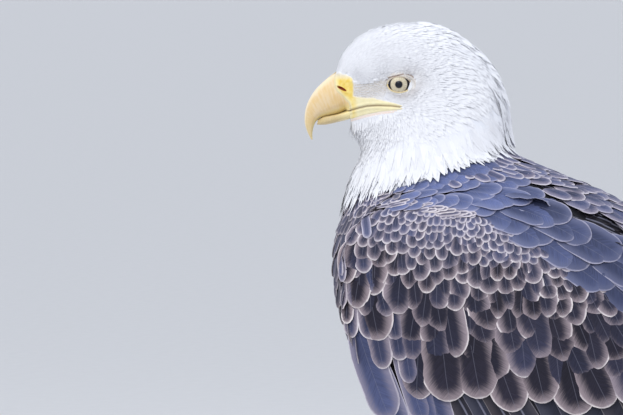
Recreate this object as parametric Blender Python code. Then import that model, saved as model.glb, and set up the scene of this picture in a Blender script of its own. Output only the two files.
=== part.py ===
"""A bald eagle standing on flat ground, wings loosely folded, its head turned a little to its left.

Metres, +Z up. The bird faces -Y, its left side is at +X and its toes rest on z = 0. The outline is that
of the feathers, so each flesh piece is the body with its coat on. Heights are given from the ground, and
the sizes of head, body and wing from the eye: forward or back, and up.
"""

import math

import bmesh
import bpy
import numpy as np
from mathutils import Matrix, Vector

MM = 0.001
GAP = 0.35 * MM  # clearance between neighbouring pieces
MERGE = 0.03 * MM  # points left closer than this by a cut are one

EYE_HEIGHT = 0.643
HEAD_TURN = math.radians(20)  # to the bird's left
NECK_PIVOT_Y = 0.022  # the head turns about a vertical axis this far behind the eyes
BODY_RING_POINTS = 20
RINGS_PER_STATION = 2

# Head and neck, from the face to the foot of the neck: the point on the crown or nape and the point on
# the chin or throat (forward of the eye, above it), half width, height of the widest place, fullness.
HEAD_STATIONS = (
    (57, 10, 44.5, -33, 14.5, 0.52, 2.2),
    (52, 26, 42, -43, 18.8, 0.52, 2.2),
    (37, 43, 37, -51, 24.2, 0.55, 2.3),
    (12, 54, 35, -55, 27.5, 0.58, 2.4),
    (-20, 56, 34, -59, 31.0, 0.56, 2.4),
    (-50, 47, 34, -64, 36.5, 0.53, 2.3),
    (-77, 24, 37, -71, 43.0, 0.50, 2.2),
)
NECK_STATIONS = (
    (-94, -3, 42, -81, 48.5, 0.47, 2.2),
    (-101, -33, 48, -97, 56.0, 0.45, 2.1),
    (-105, -58, 52, -118, 66.0, 0.44, 2.1),
)
# Trunk, from the shoulders to the root of the tail, the same way; forward is negative here.
TRUNK_STATIONS = (
    (-128, -72, 57, -146, 84.0, 0.46, 2.2),
    (-160, -84, 56, -184, 96.0, 0.46, 2.2),
    (-197, -98, 43, -234, 100.0, 0.46, 2.2),
    (-233, -121, 12, -290, 99.0, 0.46, 2.2),
    (-265, -154, -36, -338, 93.0, 0.47, 2.2),
    (-293, -195, -94, -368, 83.0, 0.48, 2.2),
    (-316, -238, -155, -382, 69.0, 0.50, 2.2),
    (-336, -276, -215, -382, 55.0, 0.50, 2.2),
)
TAIL_ROOT_STATIONS = (
    (-351, -308, -258, -383, 52.0, 0.50, 2.2),
    (-372, -338, -312, -405, 50.0, 0.50, 2.3),
    (-393, -370, -360, -418, 49.0, 0.50, 2.4),
    (-413, -402, -394, -417, 49.0, 0.50, 2.6),
)

# Eye: a ball seated in a socket on each side of the head.
EYE_RADIUS = 12.2 * MM
EYE_SIDE = 22.4 * MM  # the ball's centre from the head's middle plane
# Swellings of the head's sides: middle (forward, up), reach (forward, up) and height, hollows below zero.
FACE_RELIEF = {
    "brow": (9, 13, 24, 6, 3.6),
    "lore": (17, -4, 17, 9, -4.0),
    "orbit": (0, 0, 13, 11, -4.0),
}
FACE_RELIEF_SIDE = 20 * MM  # the relief is whole this far from the middle plane and fades towards it

# Bill: the ridge and the cutting edge of the upper bill (forward, above the eye) with half width.
BILL_STATIONS = (
    (58.0, 10.0, 47.9, -24.8, 14.6),
    (63.5, 5.8, 53.5, -27.4, 14.0),
    (69.5, 0.6, 59.5, -28.8, 12.8),
    (75.5, -5.6, 65.0, -29.6, 11.2),
    (80.3, -12.8, 69.5, -30.6, 9.4),
    (83.6, -20.4, 73.0, -32.6, 7.6),
    (85.2, -28.6, 75.6, -35.6, 5.8),
    (85.0, -36.4, 77.3, -40.2, 4.1),
    (82.8, -43.8, 78.2, -45.4, 2.4),
    (79.2, -51.0, 78.0, -50.8, 0.7),
)
BILL_RING_POINTS = 14
CERE_SHARE = 0.2  # the fleshy cere takes this much of the upper bill's length
UPPER_BILL_SECTION = (0.36, 2.15)  # height of the widest place and fullness
LOWER_BILL_SECTION = (0.78, 2.4)
LOWER_BILL_STATIONS = (
    (48.2, -25.6, 46.2, -32.6, 13.4),
    (54.0, -28.0, 53.0, -34.4, 12.4),
    (61.0, -29.4, 60.5, -36.2, 10.4),
    (68.0, -30.8, 67.5, -37.4, 7.6),
    (73.2, -33.6, 74.0, -37.4, 3.6),
)

# Wing: its leading edge from wrist to tip, and its inner edge along the back, then down the feather tips,
# as (side, back of the eye, above the eye) at the same shares of the wing's length.
WING_SHARES = (0.0, 0.12, 0.24, 0.36, 0.46, 0.60, 0.74, 0.88, 1.0)
WING_LEADING_EDGE = (
    (114, -18, -168),
    (118, -13, -205),
    (120, -3, -232),
    (120, 8, -258),
    (119, 23, -287),
    (114, 62, -364),
    (104, 128, -444),
    (90, 226, -518),
    (72, 358, -582),
)
WING_INNER_EDGE = (
    (58, 22, -88),
    (62, 100, -86),
    (60, 185, -113),
    (50, 266, -166),
    (39, 322, -244),
    (35, 350, -315),
    (44, 370, -394),
    (58, 392, -468),
    (66, 440, -540),
)
WING_WRAP = (2.6, 0.8)  # powers that round the wing's section over from the leading to the inner edge
WING_BULGE = 11 * MM  # how far the section swells sideways, fading towards the tip
WING_BULGE_FADE = 1.5
WING_FRONT_BULGE = 10 * MM  # how far the wrist swells forward
WING_FRONT_SPAN = 0.1  # share of the wing's length where that swelling dies away
WING_INWARD = (-0.9, 0.1, -0.35)  # the wing's feathers are this way in from its surface
EDGE_SHARE = 0.004  # the clearance between the wing's pieces, as a share of its length or breadth
COVERTS_END = 0.47  # share of the wing's length where the long feathers come out from under the coverts
PRIMARIES_SHARE = 0.40  # share of the wing's breadth held by the outer flight feathers
COVERTS_THICKNESS = (46 * MM, 7 * MM)  # from the shoulder to the ends of the coverts
COVERTS_THINNING = 0.8  # power of that change
COVERTS_FRONT = 0.45  # the leading edge's share of the thickness
COVERTS_GRID = (10, 11)  # points along and across
FLIGHT_THICKNESS = (5 * MM, 2 * MM)
SCAPULARS_LIFT = 6 * MM  # the shoulder feathers lie this much above the rest of the wing
SCAPULARS_SPAN = (0.03, 0.50)  # shares of the wing's length
SCAPULARS_EDGE = 0.80  # share of the breadth where they begin at their ends
SCAPULARS_SPREAD = 0.18  # and how much nearer the leading edge they begin halfway
SCAPULARS_STEP = 0.05  # share of the breadth over which they rise
SCAPULARS_OUT = (0.8, 0.6)  # the way they stand off the wing: sideways and up
PRIMARY_COUNT = 6
SECONDARY_COUNT = 8
TIP_SCALLOPS = (0.040, 0.035)  # how deep the feathers' tips are parted, as shares of the wing's length
TIP_ROUNDNESS = 1.9  # 2 would bring neighbouring tips together at a point
PRIMARIES_LONGEST = 0.3  # share across the primaries where the longest one lies
PRIMARIES_FALL = (0.07, 0.22)  # how much shorter the outermost and the innermost primaries end
PRIMARIES_FALL_POWERS = (2, 1.2)
SECONDARIES_END = (0.75, 0.63)  # where the outermost and the innermost secondaries end

# Tail: a fan of twelve feathers.
TAIL_FEATHERS = 12
TAIL_START = Vector((0, 404.3, -410.5)) * MM
TAIL_LENGTH = 0.140
TAIL_SLOPE = math.radians(52)
TAIL_HALF_WIDTHS = (47 * MM, 68 * MM)
TAIL_THICKNESS = 9 * MM
TAIL_ARCH = 9 * MM
TAIL_RIDGE = 1.2 * MM
TAIL_ROUNDING = 0.08  # how much shorter the outermost tail feathers are
TAIL_SCALLOP = 12 * MM
TAIL_THINNING = 0.7
COLUMNS_PER_FEATHER = 3

# Legs. Thigh stations: height, side, back, half width across, half width fore and aft.
THIGH_STATIONS = (
    (340, 50, 124, 36, 62),
    (295, 55, 126, 42, 68),
    (245, 58, 132, 41, 64),
    (195, 58, 141, 36, 53),
    (150, 57, 149, 30, 41),
    (110, 56, 152, 24, 31),
    (82, 55, 151, 19, 23),
    (70, 55, 150, 13, 15),
)
SHANK_STATIONS = (
    (69.5, 55, 150, 9.0, 10.5),
    (52, 55, 148, 8.4, 9.8),
    (34, 55, 145, 9.2, 10.6),
    (22, 55, 143, 12.5, 13.0),
    (12, 55, 141, 14.5, 14.5),
    (3, 55, 141, 12.5, 12.5),
)
FOOT_CENTRE = Vector((55, 141, 0)) * MM
TOE_ROOT = 9 * MM  # a toe starts this far from the foot's centre
FLAT_DEPTH = 1.2 * MM  # a toe's underside is flattened by this much
# Toe name: direction outward from straight ahead in degrees, length, root and tip radius, claw length.
TOES = {
    "inner_toe": (-30, 56, 9.0, 7.4, 38),
    "middle_toe": (6, 78, 8.8, 7.0, 34),
    "outer_toe": (44, 62, 8.4, 6.6, 30),
    "hind_toe": (188, 46, 9.2, 7.8, 42),
}
TOE_SEGMENTS = 3
TOE_STEPS = 6
TOE_FLATTEN = 0.92  # a toe's height over its width
TOE_PAD = 0.5 * MM
CLAW_STEPS = 5
CLAW_RISE = math.radians(38)  # how steeply a claw leaves its toe
CLAW_CLEARANCE = 1.0 * MM
CLAW_POINT = 0.35 * MM
CLAW_DROP = math.radians(112)  # how far a claw turns down from root to tip
CLAW_ROOT = 0.66  # a claw's radius at its root over its toe's
CLAW_SEAT = 0.95  # the height of a claw's root over its toe's radius
CLAW_TAPER = 0.75
CLAW_FLATTEN = 1.12  # a claw's height over its width
LEG_RING_POINTS = 12
TOE_RING_POINTS = 8

COLOURS = {
    "white_coat": ((0.86, 0.86, 0.88), 0.8),
    "brown_coat": ((0.055, 0.045, 0.05), 0.7),
    "flight_feathers": ((0.03, 0.03, 0.042), 0.55),
    "tail_feathers": ((0.84, 0.84, 0.86), 0.6),
    "bill_horn": ((0.78, 0.53, 0.24), 0.35),
    "cere_skin": ((0.82, 0.62, 0.16), 0.5),
    "eye": ((0.72, 0.64, 0.42), 0.1),
    "foot_skin": ((0.78, 0.55, 0.10), 0.6),
    "claw_horn": ((0.02, 0.02, 0.022), 0.3),
}


def clear_scene():
    for old in list(bpy.data.objects):
        bpy.data.objects.remove(old, do_unlink=True)


def make_collection(name):
    made = bpy.data.collections.new(name)
    bpy.context.scene.collection.children.link(made)
    return made


def make_materials():
    made = {}
    for name, (colour, roughness) in COLOURS.items():
        material = bpy.data.materials.new(name)
        material.use_nodes = True
        shader = material.node_tree.nodes["Principled BSDF"]
        shader.inputs["Base Color"].default_value = (*colour, 1.0)
        shader.inputs["Roughness"].default_value = roughness
        shader.inputs["Metallic"].default_value = 0.0
        made[name] = material
    return made


def through(stations, count):
    """The rows of stations, resampled to count rows on a smooth curve through them."""
    rows = np.array(stations, float)
    at = np.linspace(0, len(rows) - 1, count)
    left = np.clip(at.astype(int), 0, len(rows) - 2)
    t = (at - left)[:, None]
    before = rows[np.maximum(left - 1, 0)]
    start = rows[left]
    end = rows[left + 1]
    after = rows[np.minimum(left + 2, len(rows) - 1)]
    slope_in = (end - before) / 2
    slope_out = (after - start) / 2
    return (
        (2 * t**3 - 3 * t**2 + 1) * start
        + (t**3 - 2 * t**2 + t) * slope_in
        + (3 * t**2 - 2 * t**3) * end
        + (t**3 - t**2) * slope_out
    )


def signed_power(value, power):
    return np.sign(value) * np.abs(value) ** power


def oval(top, bottom, half_width, widest=0.5, fullness=2.0, points=BODY_RING_POINTS):
    """A closed ring between two points of the middle plane, half_width wide to each side along X."""
    angle = np.arange(points) * 2 * math.pi / points
    rise = signed_power(np.cos(angle), 2 / fullness)
    side = signed_power(np.sin(angle), 2 / fullness) * half_width
    top = np.array(top, float)
    bottom = np.array(bottom, float)
    middle = bottom + (top - bottom) * widest
    above = np.clip(rise, 0, 1)[:, None] * (top - middle)
    below = np.clip(rise, -1, 0)[:, None] * (middle - bottom)
    ring = middle + above + below
    ring[:, 0] += side
    return ring


def turned(ring, angle, pivot_y=NECK_PIVOT_Y):
    """The ring turned to the left about a vertical axis in the middle plane."""
    x = ring[:, 0].copy()
    y = ring[:, 1] - pivot_y
    out = ring.copy()
    out[:, 0] = x * math.cos(angle) - y * math.sin(angle)
    out[:, 1] = x * math.sin(angle) + y * math.cos(angle) + pivot_y
    return out


def drawn_in(ring, neighbour):
    """The ring moved towards its neighbour, so that two pieces cut at one ring stay a gap apart."""
    nearest = np.linalg.norm(neighbour - ring, axis=1).min()
    return ring + (neighbour - ring) * min(0.5, GAP / max(nearest, 1e-6))


def new_object(name, mesh, material, collection):
    mesh.name = name
    made = bpy.data.objects.new(name, mesh)
    made.data.materials.clear()
    made.data.materials.append(material)
    collection.objects.link(made)
    return made


def closed_object(name, work, material, collection):
    """An object from a closed work mesh, in triangles, so that neighbours crease along the same lines."""
    bmesh.ops.recalc_face_normals(work, faces=work.faces)
    bmesh.ops.triangulate(work, faces=work.faces)
    mesh = bpy.data.meshes.new(name)
    work.to_mesh(mesh)
    work.free()
    mesh.shade_smooth()
    return new_object(name, mesh, material, collection)


def loft(name, rings, material, collection):
    """A closed body through rings of equal point count, with flat ends."""
    work = bmesh.new()
    loops = [[work.verts.new(point) for point in ring] for ring in rings]
    for one, other in zip(loops, loops[1:]):
        for i in range(len(one)):
            j = (i + 1) % len(one)
            work.faces.new((one[i], one[j], other[j], other[i]))
    work.faces.new(loops[0])
    work.faces.new(loops[-1])
    return closed_object(name, work, material, collection)


def grown_copy(source, distance, cutters):
    """A hidden copy of an object, grown by a distance, to cut its neighbours with."""
    graph = bpy.context.evaluated_depsgraph_get()
    mesh = bpy.data.meshes.new_from_object(source.evaluated_get(graph))
    mesh.transform(source.matrix_world)
    work = bmesh.new()
    work.from_mesh(mesh)
    work.normal_update()
    moves = [(vert, vert.normal.copy()) for vert in work.verts]
    for vert, normal in moves:
        vert.co += normal * distance
    work.to_mesh(mesh)
    work.free()
    cutter = new_object(source.name + "_cutter", mesh, source.data.materials[0], cutters)
    cutter.hide_render = True
    cutter.display_type = "WIRE"
    return cutter


def carve(target, cutter):
    cut = target.modifiers.new("clear_of_" + cutter.name, "BOOLEAN")
    cut.operation = "DIFFERENCE"
    cut.solver = "EXACT"
    cut.object = cutter


def freeze(target):
    """Turns an object's modifiers into mesh and keeps its largest body, without the slivers of a cut."""
    graph = bpy.context.evaluated_depsgraph_get()
    mesh = bpy.data.meshes.new_from_object(target.evaluated_get(graph))
    target.modifiers.clear()
    work = bmesh.new()
    work.from_mesh(mesh)
    left = set(work.verts)
    islands = []
    while left:
        island = {left.pop()}
        edge_of = list(island)
        while edge_of:
            vert = edge_of.pop()
            for edge in vert.link_edges:
                other = edge.other_vert(vert)
                if other in left:
                    left.discard(other)
                    island.add(other)
                    edge_of.append(other)
        islands.append(island)
    islands.sort(key=len)
    for island in islands[:-1]:
        bmesh.ops.delete(work, geom=list(island), context="VERTS")
    bmesh.ops.remove_doubles(work, verts=work.verts, dist=MERGE)
    bmesh.ops.dissolve_degenerate(work, edges=work.edges, dist=MERGE)
    bmesh.ops.triangulate(work, faces=work.faces)
    work.to_mesh(mesh)
    work.free()
    target.data = mesh


def body_rings():
    """The rings of head, neck, trunk and tail root, and the ring where each of them begins."""
    parts = (HEAD_STATIONS, NECK_STATIONS, TRUNK_STATIONS, TAIL_ROOT_STATIONS)
    stations = [row for part in parts for row in part]
    rows = through(stations, (len(stations) - 1) * RINGS_PER_STATION + 1)
    last_turned = len(HEAD_STATIONS) - 1
    first_straight = len(HEAD_STATIONS) + len(NECK_STATIONS)
    rings = []
    for number, row in enumerate(rows):
        top_f, top_u, low_f, low_u, half_width, widest, fullness = row
        top = head_frame(top_f, top_u)
        ring = oval(top, head_frame(low_f, low_u), half_width * MM, widest, fullness)
        passed = number / RINGS_PER_STATION - last_turned
        eased = np.clip(passed / (first_straight - last_turned), 0, 1)
        share = 1 - eased * eased * (3 - 2 * eased)
        rings.append(turned(ring, HEAD_TURN * share))
    starts = np.cumsum([0] + [len(part) for part in parts])
    return rings, [int(start) * RINGS_PER_STATION for start in starts[:-1]] + [len(rings) - 1]


def head_frame(forward, up):
    """A point of the middle plane, from its millimetres ahead of the eye and above it."""
    return (0, -forward * MM, EYE_HEIGHT + up * MM)


def with_face_relief(ring):
    """A ring of the turned head with its brow raised and its lore and the eye's place hollowed."""
    flat = turned(ring, -HEAD_TURN)
    forward = -flat[:, 1] / MM
    up = (flat[:, 2] - EYE_HEIGHT) / MM
    side = np.sign(flat[:, 0]) * np.clip(np.abs(flat[:, 0]) / FACE_RELIEF_SIDE, 0, 1)
    for middle_f, middle_u, reach_f, reach_u, height in FACE_RELIEF.values():
        swell = np.exp(-(((forward - middle_f) / reach_f) ** 2) - ((up - middle_u) / reach_u) ** 2)
        flat[:, 0] += side * swell * height * MM
    return turned(flat, HEAD_TURN)


def make_eye(side_name, side, materials, collection):
    """A ball seated in the side of the turned head."""
    place = np.array([[side * EYE_SIDE, 0, EYE_HEIGHT]])
    centre = Vector(turned(place, HEAD_TURN)[0])
    bpy.ops.mesh.primitive_uv_sphere_add(segments=14, ring_count=8, radius=EYE_RADIUS)
    eye = bpy.context.object
    eye.data.transform(Matrix.Translation(centre) @ Matrix.Rotation(math.pi / 2, 4, "Y"))
    eye.data.shade_smooth()
    ball = eye.data
    bpy.data.objects.remove(eye)
    return new_object("eye_" + side_name, ball, materials["eye"], collection)


def make_body(materials, collection, cutters):
    """Head, neck, trunk and tail root as one run of rings, parted at four of them, and the two eyes."""
    rings, starts = body_rings()
    rings[: starts[1]] = [with_face_relief(ring) for ring in rings[: starts[1]]]
    names = ("head", "neck", "trunk", "tail_root")
    coats = ("white_coat", "white_coat", "brown_coat", "white_coat")
    made = {}
    for name, coat, first, last in zip(names, coats, starts, starts[1:]):
        part = rings[first : last + 1]
        if first > 0:
            part[0] = drawn_in(part[0], part[1])
        made[name] = loft(name, part, materials[coat], collection)
    for side_name, side in (("left", 1), ("right", -1)):
        eye = make_eye(side_name, side, materials, collection)
        carve(made["head"], grown_copy(eye, GAP, cutters))
    freeze(made["head"])
    return made


def make_bill(materials, collection):
    """Cere and horn of the upper bill, parted at one ring, and the lower bill under them."""
    rows = through(BILL_STATIONS, (len(BILL_STATIONS) - 1) * RINGS_PER_STATION + 1)
    rings = [bill_ring(row, *UPPER_BILL_SECTION) for row in rows]
    cut = round(len(rings) * CERE_SHARE)
    loft("cere", rings[: cut + 1], materials["cere_skin"], collection)
    rings[cut] = drawn_in(rings[cut], rings[cut + 1])
    loft("bill_upper", rings[cut:], materials["bill_horn"], collection)
    rows = through(LOWER_BILL_STATIONS, (len(LOWER_BILL_STATIONS) - 1) * RINGS_PER_STATION + 1)
    rings = [bill_ring(row, *LOWER_BILL_SECTION) for row in rows]
    loft("bill_lower", rings, materials["bill_horn"], collection)


def bill_ring(row, widest, fullness):
    """A ring of the bill, widest at a share of its height above its lower edge."""
    top_f, top_u, low_f, low_u, half_width = row
    top = head_frame(top_f, top_u)
    bottom = head_frame(low_f, low_u)
    return turned(oval(top, bottom, half_width * MM, widest, fullness, BILL_RING_POINTS), HEAD_TURN)


def wing_edges(shares):
    """The leading and inner edge points at these shares of the wing's length."""
    fine = np.linspace(0, 1, 161)
    station = np.interp(fine, WING_SHARES, np.arange(len(WING_SHARES)))
    edges = []
    for rows in (WING_LEADING_EDGE, WING_INNER_EDGE):
        dense = through(rows, 161)
        dense_at = np.linspace(0, len(rows) - 1, 161)
        curve = np.stack([np.interp(station, dense_at, dense[:, k]) for k in range(3)], 1)
        edges.append(np.stack([np.interp(shares, fine, curve[:, k]) for k in range(3)], -1) * MM)
    return edges


def wing_point(length_share, breadth_share):
    """The left wing's outer surface, from front (0) to tip (1) and from leading (0) to inner edge (1)."""
    length_share, breadth_share = np.broadcast_arrays(length_share, breadth_share)
    leading, inner = wing_edges(length_share)
    point = leading + (inner - leading) * breadth_share[..., None]
    inner_power, outer_power = WING_WRAP
    wrap = (1 - breadth_share**inner_power) ** outer_power
    point[..., 0] = inner[..., 0] + (leading[..., 0] - inner[..., 0]) * wrap
    arch = np.sin(math.pi * breadth_share)
    point[..., 0] += WING_BULGE * (1 - length_share**WING_BULGE_FADE) * arch**outer_power
    point[..., 1] -= WING_FRONT_BULGE * np.exp(-((length_share / WING_FRONT_SPAN) ** 2)) * arch
    first, last = SCAPULARS_SPAN
    along = np.sin(math.pi * np.clip((length_share - first) / (last - first), 0, 1)) ** 0.7
    begins = SCAPULARS_EDGE - SCAPULARS_SPREAD * along
    lift = SCAPULARS_LIFT * along * np.clip((breadth_share - begins) / SCAPULARS_STEP, 0, 1)
    point[..., 0] += lift * SCAPULARS_OUT[0]
    point[..., 2] += lift * SCAPULARS_OUT[1] + EYE_HEIGHT
    return point


def pad(name, points, thickness, inward, material, collection):
    """A closed pad between a grid of points and the same grid moved inward by its thickness."""
    rows, columns = points.shape[:2]
    depth = np.broadcast_to(thickness, (rows, columns))[..., None] * np.array(inward)
    work = bmesh.new()
    outer = [[work.verts.new(point) for point in row] for row in points]
    inner = [[work.verts.new(point) for point in row] for row in points + depth]
    for grid in (outer, inner):
        for i in range(rows - 1):
            for j in range(columns - 1):
                work.faces.new((grid[i][j], grid[i + 1][j], grid[i + 1][j + 1], grid[i][j + 1]))
    rim = [(0, j) for j in range(columns)] + [(i, columns - 1) for i in range(1, rows)]
    rim += [(rows - 1, j) for j in range(columns - 2, -1, -1)] + [(i, 0) for i in range(rows - 2, 0, -1)]
    for (i, j), (k, m) in zip(rim, rim[1:] + rim[:1]):
        work.faces.new((outer[i][j], outer[k][m], inner[k][m], inner[i][j]))
    return closed_object(name, work, material, collection)


def scalloped(count, share, depth):
    """How far each feather's rounded tip falls short of its line, over count tips side by side."""
    within = np.mod(share * count, 1.0) - 0.5
    return depth * (1 - np.sqrt(np.clip(1 - (TIP_ROUNDNESS * within) ** 2, 0, 1)))


def wing_coverts(materials, collection):
    """The feathered arm: a pad over shoulder and wrist that thins to where the long feathers show."""
    rows, columns = COVERTS_GRID
    along = np.linspace(0, 1, rows)[:, None]
    across = np.linspace(0, 1, columns)[None, :]
    thick, thin = COVERTS_THICKNESS
    front = np.clip(COVERTS_FRONT + across, 0, 1)
    thickness = thin + (thick - thin) * (1 - along) ** COVERTS_THINNING * front
    points = wing_point(along * COVERTS_END, across)
    return pad("wing_left_coverts", points, thickness, WING_INWARD, materials["brown_coat"], collection)


def flight_feathers(name, low, high, end, count, depth, materials, collection):
    """Long feathers side by side, from under the coverts to their rounded tips, placed by end."""
    along = np.linspace(0, 1, 5)[:, None]
    across = np.linspace(0, 1, count * COLUMNS_PER_FEATHER + 1)[None, :]
    start = COVERTS_END + EDGE_SHARE
    reach = end(across) - scalloped(count, across, depth)
    s = start + (reach - start) * along
    thick, thin = FLIGHT_THICKNESS
    thickness = thin + (thick - thin) * (1 - along)
    points = wing_point(s, low + (high - low) * across)
    return pad(name, points, thickness, WING_INWARD, materials["flight_feathers"], collection)


def primaries_end(across):
    """The outer flight feathers' tips make a blunt point."""
    outer, inner = PRIMARIES_FALL
    before = np.clip(1 - across / PRIMARIES_LONGEST, 0, 1)
    after = np.clip((across - PRIMARIES_LONGEST) / (1 - PRIMARIES_LONGEST), 0, 1)
    outer_power, inner_power = PRIMARIES_FALL_POWERS
    return 1 - outer * before**outer_power - inner * after**inner_power


def secondaries_end(across):
    outer, inner = SECONDARIES_END
    return outer + (inner - outer) * across


def make_wings(materials, collection, cutters, body):
    """Both wings: coverts, outer and inner flight feathers, cut clear of the body."""
    parted = PRIMARIES_SHARE - EDGE_SHARE / 2, PRIMARIES_SHARE + EDGE_SHARE / 2
    fans = (
        ("wing_left_primaries", 0.0, parted[0], primaries_end, PRIMARY_COUNT, TIP_SCALLOPS[0]),
        ("wing_left_secondaries", parted[1], 1.0, secondaries_end, SECONDARY_COUNT, TIP_SCALLOPS[1]),
    )
    left = [wing_coverts(materials, collection)]
    left += [flight_feathers(*fan, materials, collection) for fan in fans]
    cores = [grown_copy(body[name], GAP, cutters) for name in ("neck", "trunk", "tail_root")]
    for wing in (left, [mirrored(piece, collection) for piece in left]):
        coverts, _primaries, secondaries = wing
        for core in cores:
            carve(coverts, core)
        for core in cores[1:]:
            carve(secondaries, core)
        freeze(coverts)
        freeze(secondaries)


def mirrored(source, collection):
    """The same piece on the bird's right side."""
    mesh = source.data.copy()
    mesh.transform(Matrix.Scale(-1, 4, (1, 0, 0)))
    mesh.flip_normals()
    name = source.name.replace("left", "right")
    return new_object(name, mesh, source.data.materials[0], collection)


def make_tail(materials, collection):
    """The feathers of the tail side by side as one arched fan, each a little higher along its middle."""
    along = np.linspace(0, 1, 4)[:, None]
    across = np.linspace(0, 1, TAIL_FEATHERS * COLUMNS_PER_FEATHER + 1)[None, :]
    sideways = 2 * across - 1
    base, tip = TAIL_HALF_WIDTHS
    tips = scalloped(TAIL_FEATHERS, across, TAIL_SCALLOP)
    reach = TAIL_LENGTH * (1 - TAIL_ROUNDING * sideways**2) - tips
    ridge = TAIL_RIDGE * np.cos(2 * math.pi * (across * TAIL_FEATHERS - 0.5))
    height = TAIL_ARCH * (1 - sideways**2) + ridge
    down = np.array((0, math.cos(TAIL_SLOPE), -math.sin(TAIL_SLOPE)))
    lift = np.array((0, math.sin(TAIL_SLOPE), math.cos(TAIL_SLOPE)))
    points = (along * reach)[..., None] * down + (height + 0 * along)[..., None] * lift
    points[..., 0] += (base + (tip - base) * along) * sideways
    points += np.array(TAIL_START) + np.array((0, 0, EYE_HEIGHT))
    thickness = TAIL_THICKNESS * (1 - TAIL_THINNING * along)
    pad("tail", points, thickness, -lift, materials["tail_feathers"], collection)


def level_ring(height, side, back, half_across, half_along):
    """A level oval round a leg, from its sizes in millimetres."""
    angle = np.arange(LEG_RING_POINTS) * 2 * math.pi / LEG_RING_POINTS
    ring = np.zeros((LEG_RING_POINTS, 3))
    ring[:, 0] = side + half_across * np.cos(angle)
    ring[:, 1] = back + half_along * np.sin(angle)
    ring[:, 2] = height
    return ring * MM


def tube_ring(centre, direction, radius, flatten):
    """A ring round a path, its height a share of its width."""
    side = Vector((direction.y, -direction.x, 0)).normalized()
    up = side.cross(direction).normalized()
    up = up if up.z > 0 else -up
    turns = [2 * math.pi * i / TOE_RING_POINTS for i in range(TOE_RING_POINTS)]
    return [centre + (side * math.cos(turn) + up * flatten * math.sin(turn)) * radius for turn in turns]


def ahead_of(heading):
    """The level direction a toe of the left foot points in, turned outward from straight ahead."""
    outward = math.radians(heading)
    return Vector((math.sin(outward), -math.cos(outward), 0))


def keep_side(piece, point, away):
    """Cuts off what lies past a plane, on the side away points to, and closes the cut."""
    work = bmesh.new()
    work.from_mesh(piece.data)
    everything = work.verts[:] + work.edges[:] + work.faces[:]
    cut = bmesh.ops.bisect_plane(work, geom=everything, plane_co=point, plane_no=away, clear_outer=True)
    rim = [part for part in cut["geom_cut"] if isinstance(part, bmesh.types.BMEdge)]
    if rim:
        bmesh.ops.holes_fill(work, edges=rim)
        bmesh.ops.recalc_face_normals(work, faces=work.faces)
    work.to_mesh(piece.data)
    work.free()


def make_toe(name, heading, length, root_radius, tip_radius, materials, collection):
    """A toe lying on the ground, padded at its joints, flat underneath and parted from its neighbours."""
    ahead = ahead_of(heading)
    rings = []
    for step in range(TOE_STEPS + 1):
        share = step / TOE_STEPS
        pad = TOE_PAD * math.cos(2 * math.pi * TOE_SEGMENTS * share)
        radius = (root_radius + (tip_radius - root_radius) * share) * MM + pad
        centre = FOOT_CENTRE + ahead * (TOE_ROOT + share * (length * MM - TOE_ROOT))
        centre.z = radius * TOE_FLATTEN - FLAT_DEPTH
        rings.append(tube_ring(centre, ahead, radius, TOE_FLATTEN))
    toe = loft(name, rings, materials["foot_skin"], collection)
    keep_side(toe, Vector((0, 0, 0)), Vector((0, 0, -1)))
    for other, *_sizes in TOES.values():
        if other == heading or abs(other - heading) > 90:
            continue
        between = ahead_of((heading + other) / 2)
        away = Vector((-between.y, between.x, 0)) * (1 if other > heading else -1)
        keep_side(toe, FOOT_CENTRE - away * GAP / 2, away)
    return toe


def make_claw(name, heading, toe_length, toe_radius, length, materials, collection):
    """A claw that rises a little from its toe and turns down until its point nearly meets the ground."""
    ahead = ahead_of(heading)
    bend_radius = length * MM / CLAW_DROP
    root = FOOT_CENTRE + ahead * (toe_length * MM + GAP)
    fall_in_all = bend_radius * (math.cos(CLAW_RISE) - math.cos(CLAW_DROP - CLAW_RISE))
    root.z = max(toe_radius * CLAW_SEAT * MM, fall_in_all + CLAW_CLEARANCE)
    rings = []
    for step in range(CLAW_STEPS + 1):
        share = step / CLAW_STEPS
        turn = CLAW_DROP * share - CLAW_RISE
        forward = bend_radius * (math.sin(turn) + math.sin(CLAW_RISE))
        fall = bend_radius * (math.cos(CLAW_RISE) - math.cos(turn))
        centre = root + ahead * forward - Vector((0, 0, fall))
        direction = ahead * math.cos(turn) - Vector((0, 0, math.sin(turn)))
        radius = toe_radius * MM * CLAW_ROOT * (1 - share) ** CLAW_TAPER + CLAW_POINT
        rings.append(tube_ring(centre, direction, radius, CLAW_FLATTEN))
    return loft(name, rings, materials["claw_horn"], collection)


def make_legs(materials, collection, cutters, trunk):
    """Thigh, shank, four toes and four claws of the left leg, and the same on the right."""
    rows = through(THIGH_STATIONS, 9)
    thigh = loft("thigh_left", [level_ring(*row) for row in rows], materials["brown_coat"], collection)
    carve(thigh, grown_copy(trunk, GAP, cutters))
    freeze(thigh)
    rows = through(SHANK_STATIONS, 8)
    shank = loft("shank_left", [level_ring(*row) for row in rows], materials["foot_skin"], collection)
    shank_cutter = grown_copy(shank, GAP, cutters)
    pieces = [thigh, shank]
    for toe_name, (heading, length, root_radius, tip_radius, claw_length) in TOES.items():
        toe = make_toe(toe_name + "_left", heading, length, root_radius, tip_radius, materials, collection)
        claw_name = toe_name.replace("toe", "claw") + "_left"
        claw = make_claw(claw_name, heading, length, tip_radius, claw_length, materials, collection)
        carve(toe, shank_cutter)
        carve(toe, grown_copy(claw, GAP, cutters))
        freeze(toe)
        pieces += [toe, claw]
    for piece in pieces:
        mirrored(piece, collection)


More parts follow.
